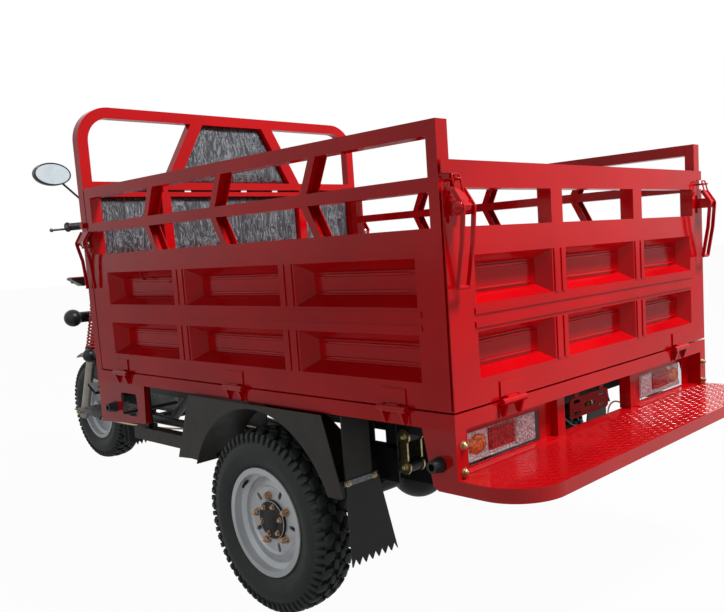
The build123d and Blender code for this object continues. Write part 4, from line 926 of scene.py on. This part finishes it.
# ---------------------------------------------------------------- pedals and brake rods
pedal_at = mm((-252, -1098, 464), (252, -1098, 464))
pedal_up = (0, 0.5, 0.87)
pedal = slab(oblong(mm(-30, 30), mm(-42, 42), 6 * MM), -1 * MM, 11.5 * MM, 1.5 * MM)
bars = together(*[slab(oblong(mm(x - 1.6, x + 1.6), mm(-38, 38), 1 * MM), 9 * MM, 15 * MM, 0.8 * MM)
                  for x in range(-24, 25, 6)])
piece("pedal_pads", placed(pedal, pedal_at, (1, 0, 0), pedal_up), soft_rubber, "chassis", 25)
piece("pedal_ribs", placed(bars, pedal_at, (1, 0, 0), pedal_up), wheel_silver, "chassis", 25)

brake_line = smooth_line(mm((500, -560, 420), (510, -300, 425), (520, -60, 440), (525, 180, 462),
                            (520, 430, 500), (512, 560, 512), (505, 700, 500)), 80)
piece("brake_rods", both_sides(rod(brake_line, 3.4 * MM)), yellow_zinc, "chassis")
cross_shaft = rod(mm((-507, -558, 420), (-250, -558, 420), (250, -558, 420), (507, -558, 420)), 8 * MM)
piece("brake_cross_shaft", cross_shaft, black_paint, "chassis")
clevis = turned(mm((8, 0), (9, 3), (9, 14), (6, 18)), 16)
piece("brake_rod_ends", both_sides(placed(clevis, mm(514, 520, 500), (0, 0, 1), (0, 1, 0.2))),
      copper_zinc, "chassis")


# ---------------------------------------------------------------- pads and seat
def pad_body(outline, low, high):
    """A closed block over an outline in X and Z, between two Y values."""
    return stood(slab(outline, 0, high - low, 4 * MM), low)


def stuffed(name, shape, cap, give, node):
    """A stuffed pad: its block is remeshed evenly, blown up from inside as cloth without gravity, held within a
    cap of movement from its start, which give scales along X, Y and Z, and smoothed by one subdivision."""
    voxel, frames = 7 * MM, 20
    pad = piece(name, shape, pad_cover, "chassis", 60)
    scene = bpy.context.scene
    bpy.context.view_layer.objects.active = pad
    mesher = pad.modifiers.new("even_mesh", "REMESH")
    mesher.mode, mesher.voxel_size = "VOXEL", voxel
    solid = bpy.data.meshes.new_from_object(pad.evaluated_get(bpy.context.evaluated_depsgraph_get()))
    pad.modifiers.clear()
    pad.data = solid
    solid.materials.clear()
    solid.materials.append(pad_cover)
    start = np.empty(len(solid.vertices) * 3)
    solid.vertices.foreach_get("co", start)
    start = start.reshape(-1, 3)
    cloth = pad.modifiers.new("cloth", "CLOTH")
    cloth.settings.quality = 4
    cloth.settings.mass = 0.3
    cloth.settings.tension_stiffness = cloth.settings.compression_stiffness = 6
    cloth.settings.bending_stiffness = 0.4
    cloth.settings.use_pressure = True
    cloth.settings.uniform_pressure_force = 4
    cloth.settings.effector_weights.gravity = 0
    cloth.collision_settings.use_collision = False
    cloth.collision_settings.use_self_collision = False
    cloth.point_cache.frame_start, cloth.point_cache.frame_end = 1, frames
    for n in range(1, frames + 1):
        scene.frame_set(n)
    swollen = pad.evaluated_get(bpy.context.evaluated_depsgraph_get()).to_mesh()
    end = np.empty(len(swollen.vertices) * 3)
    swollen.vertices.foreach_get("co", end)
    move = end.reshape(-1, 3) - start
    far = np.linalg.norm(move, axis=1, keepdims=True)
    move *= cap * np.tanh(far / cap) / np.maximum(far, 1e-9) * give
    pad.modifiers.clear()
    solid.vertices.foreach_set("co", (start + move).ravel())
    scene.frame_set(1)
    solid.shade_smooth()
    finer = pad.modifiers.new("finer", "SUBSURF")
    finer.levels = finer.render_levels = 1
    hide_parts(node)


# the backrest pads fill the bays of the hoop's frame, between its uprights and rails
rail = 40 * MM
upright_x = 345 * MM
inner = bed_half - rail
pad_y = pads_low[1] + 12 * MM, pads_high[1] - 12 * MM
pad_z = pads_low[2] + 1 * MM, 1338 * MM
middle_pad = oblong((rail / 2 - upright_x, upright_x - rail / 2), pad_z, 8 * MM)
left_pad = oblong((upright_x + rail / 2, inner), pad_z, 8 * MM)
head = drawn_in(mm((-282, 1390), (282, 1390), (146, 1631), (-146, 1631)), 1 * MM)
for word, outline in (("backrest_pad_middle", middle_pad), ("backrest_pad_left", left_pad),
                      ("backrest_pad_right", left_pad[::-1] * (-1, 1)), ("head_pad", head)):
    stuffed(word, pad_body(outline, *pad_y), 9 * MM, (0.12, 1, 0.12), "backrest_pads")
seat_block = slab(oblong((seat_low[0] + 12 * MM, seat_high[0] - 12 * MM),
                         (seat_low[1] + 12 * MM, seat_high[1] - 12 * MM), 40 * MM),
                  seat_low[2] + 3 * MM, seat_high[2] - 14 * MM, 16 * MM)
stuffed("rider_seat_pad", seat_block, 13 * MM, (0.5, 0.5, 1), "rider_seat")


# ---------------------------------------------------------------- floor, light and the end
def studio():
    """A pale floor that shows white to the eye but keeps a soft shadow, a white sky that metal and glass also
    see, a broad lamp high behind the tailgate and a wide fill from the left."""
    to_eye, to_gloss = 0.97, 0.5    # how much of the floor is plain white, seen directly and reflected
    far = 40.0
    grid = np.stack(np.meshgrid([-far, far], [-far, far], [0.0], indexing="ij"), -1)
    mesh = bpy.data.meshes.new("studio_floor")
    mesh.from_pydata(grid.reshape(-1, 3).tolist(), [], [(0, 2, 3, 1)])
    floor = bpy.data.objects.new("studio_floor", mesh)
    bpy.context.scene.collection.objects.link(floor)
    material, tree, surface = finish_of("pale_studio_floor", Base_Color=(0.5, 0.5, 0.5, 1), Roughness=0.9,
                                        Specular_IOR_Level=0.0)
    rays = add(tree, "ShaderNodeLightPath").outputs
    bounced = add(tree, "ShaderNodeMath", {0: rays["Is Glossy Ray"], 1: rays["Is Transmission Ray"]},
                  operation="MAXIMUM")
    bounced = add(tree, "ShaderNodeMath", {0: bounced.outputs[0], 1: to_gloss}, operation="MULTIPLY")
    direct = add(tree, "ShaderNodeMath", {0: rays["Is Camera Ray"], 1: to_eye}, operation="MULTIPLY")
    seen = add(tree, "ShaderNodeMath", {0: bounced.outputs[0], 1: direct.outputs[0]}, operation="MAXIMUM")
    white = add(tree, "ShaderNodeEmission", {"Color": (1, 1, 1, 1), "Strength": 1.0})
    mixed = add(tree, "ShaderNodeMixShader", {0: seen.outputs[0], 1: surface.outputs[0], 2: white.outputs[0]})
    tree.links.new(mixed.outputs[0], tree.nodes["Material Output"].inputs["Surface"])
    mesh.materials.append(material)

    world = bpy.data.worlds.new("studio_world")
    bpy.context.scene.world = world
    world.use_nodes = True
    tree = world.node_tree
    rays = add(tree, "ShaderNodeLightPath").outputs
    shown = add(tree, "ShaderNodeMath", {0: rays["Is Camera Ray"], 1: rays["Is Glossy Ray"]},
                operation="MAXIMUM")
    shown = add(tree, "ShaderNodeMath", {0: shown.outputs[0], 1: rays["Is Transmission Ray"]},
                operation="MAXIMUM")
    sky = tree.nodes["Background"]
    sky.inputs["Color"].default_value = (1, 1, 1, 1)
    tree.links.new(between(tree, shown.outputs[0], 0.2, 1.0), sky.inputs["Strength"])

    for name, place_at, aim, size, power, tint in (
            ("rear_key", (-1.2, 4.4, 6.4), (0, 1.3, 0.8), (1.5, 1.5), 600, (1.0, 0.98, 0.95)),
            ("left_fill", (6.5, 0.5, 4.0), (0, 0, 0.8), (4.0, 3.0), 34, (1.0, 1.0, 1.0))):
        lamp = bpy.data.objects.new(name, bpy.data.lights.new(name, "AREA"))
        lamp.data.shape = "RECTANGLE"
        lamp.data.size, lamp.data.size_y = size
        lamp.data.energy, lamp.data.color = power, tint
        lamp.location = place_at
        ray = unit(np.array(place_at) - np.array(aim))
        lamp.rotation_euler = (np.arccos(ray[2]), 0, np.arctan2(ray[1], ray[0]) + pi / 2)
        bpy.context.scene.collection.objects.link(lamp)


studio()
bpy.context.scene.view_settings.view_transform = "Standard"
bpy.context.view_layer.update()
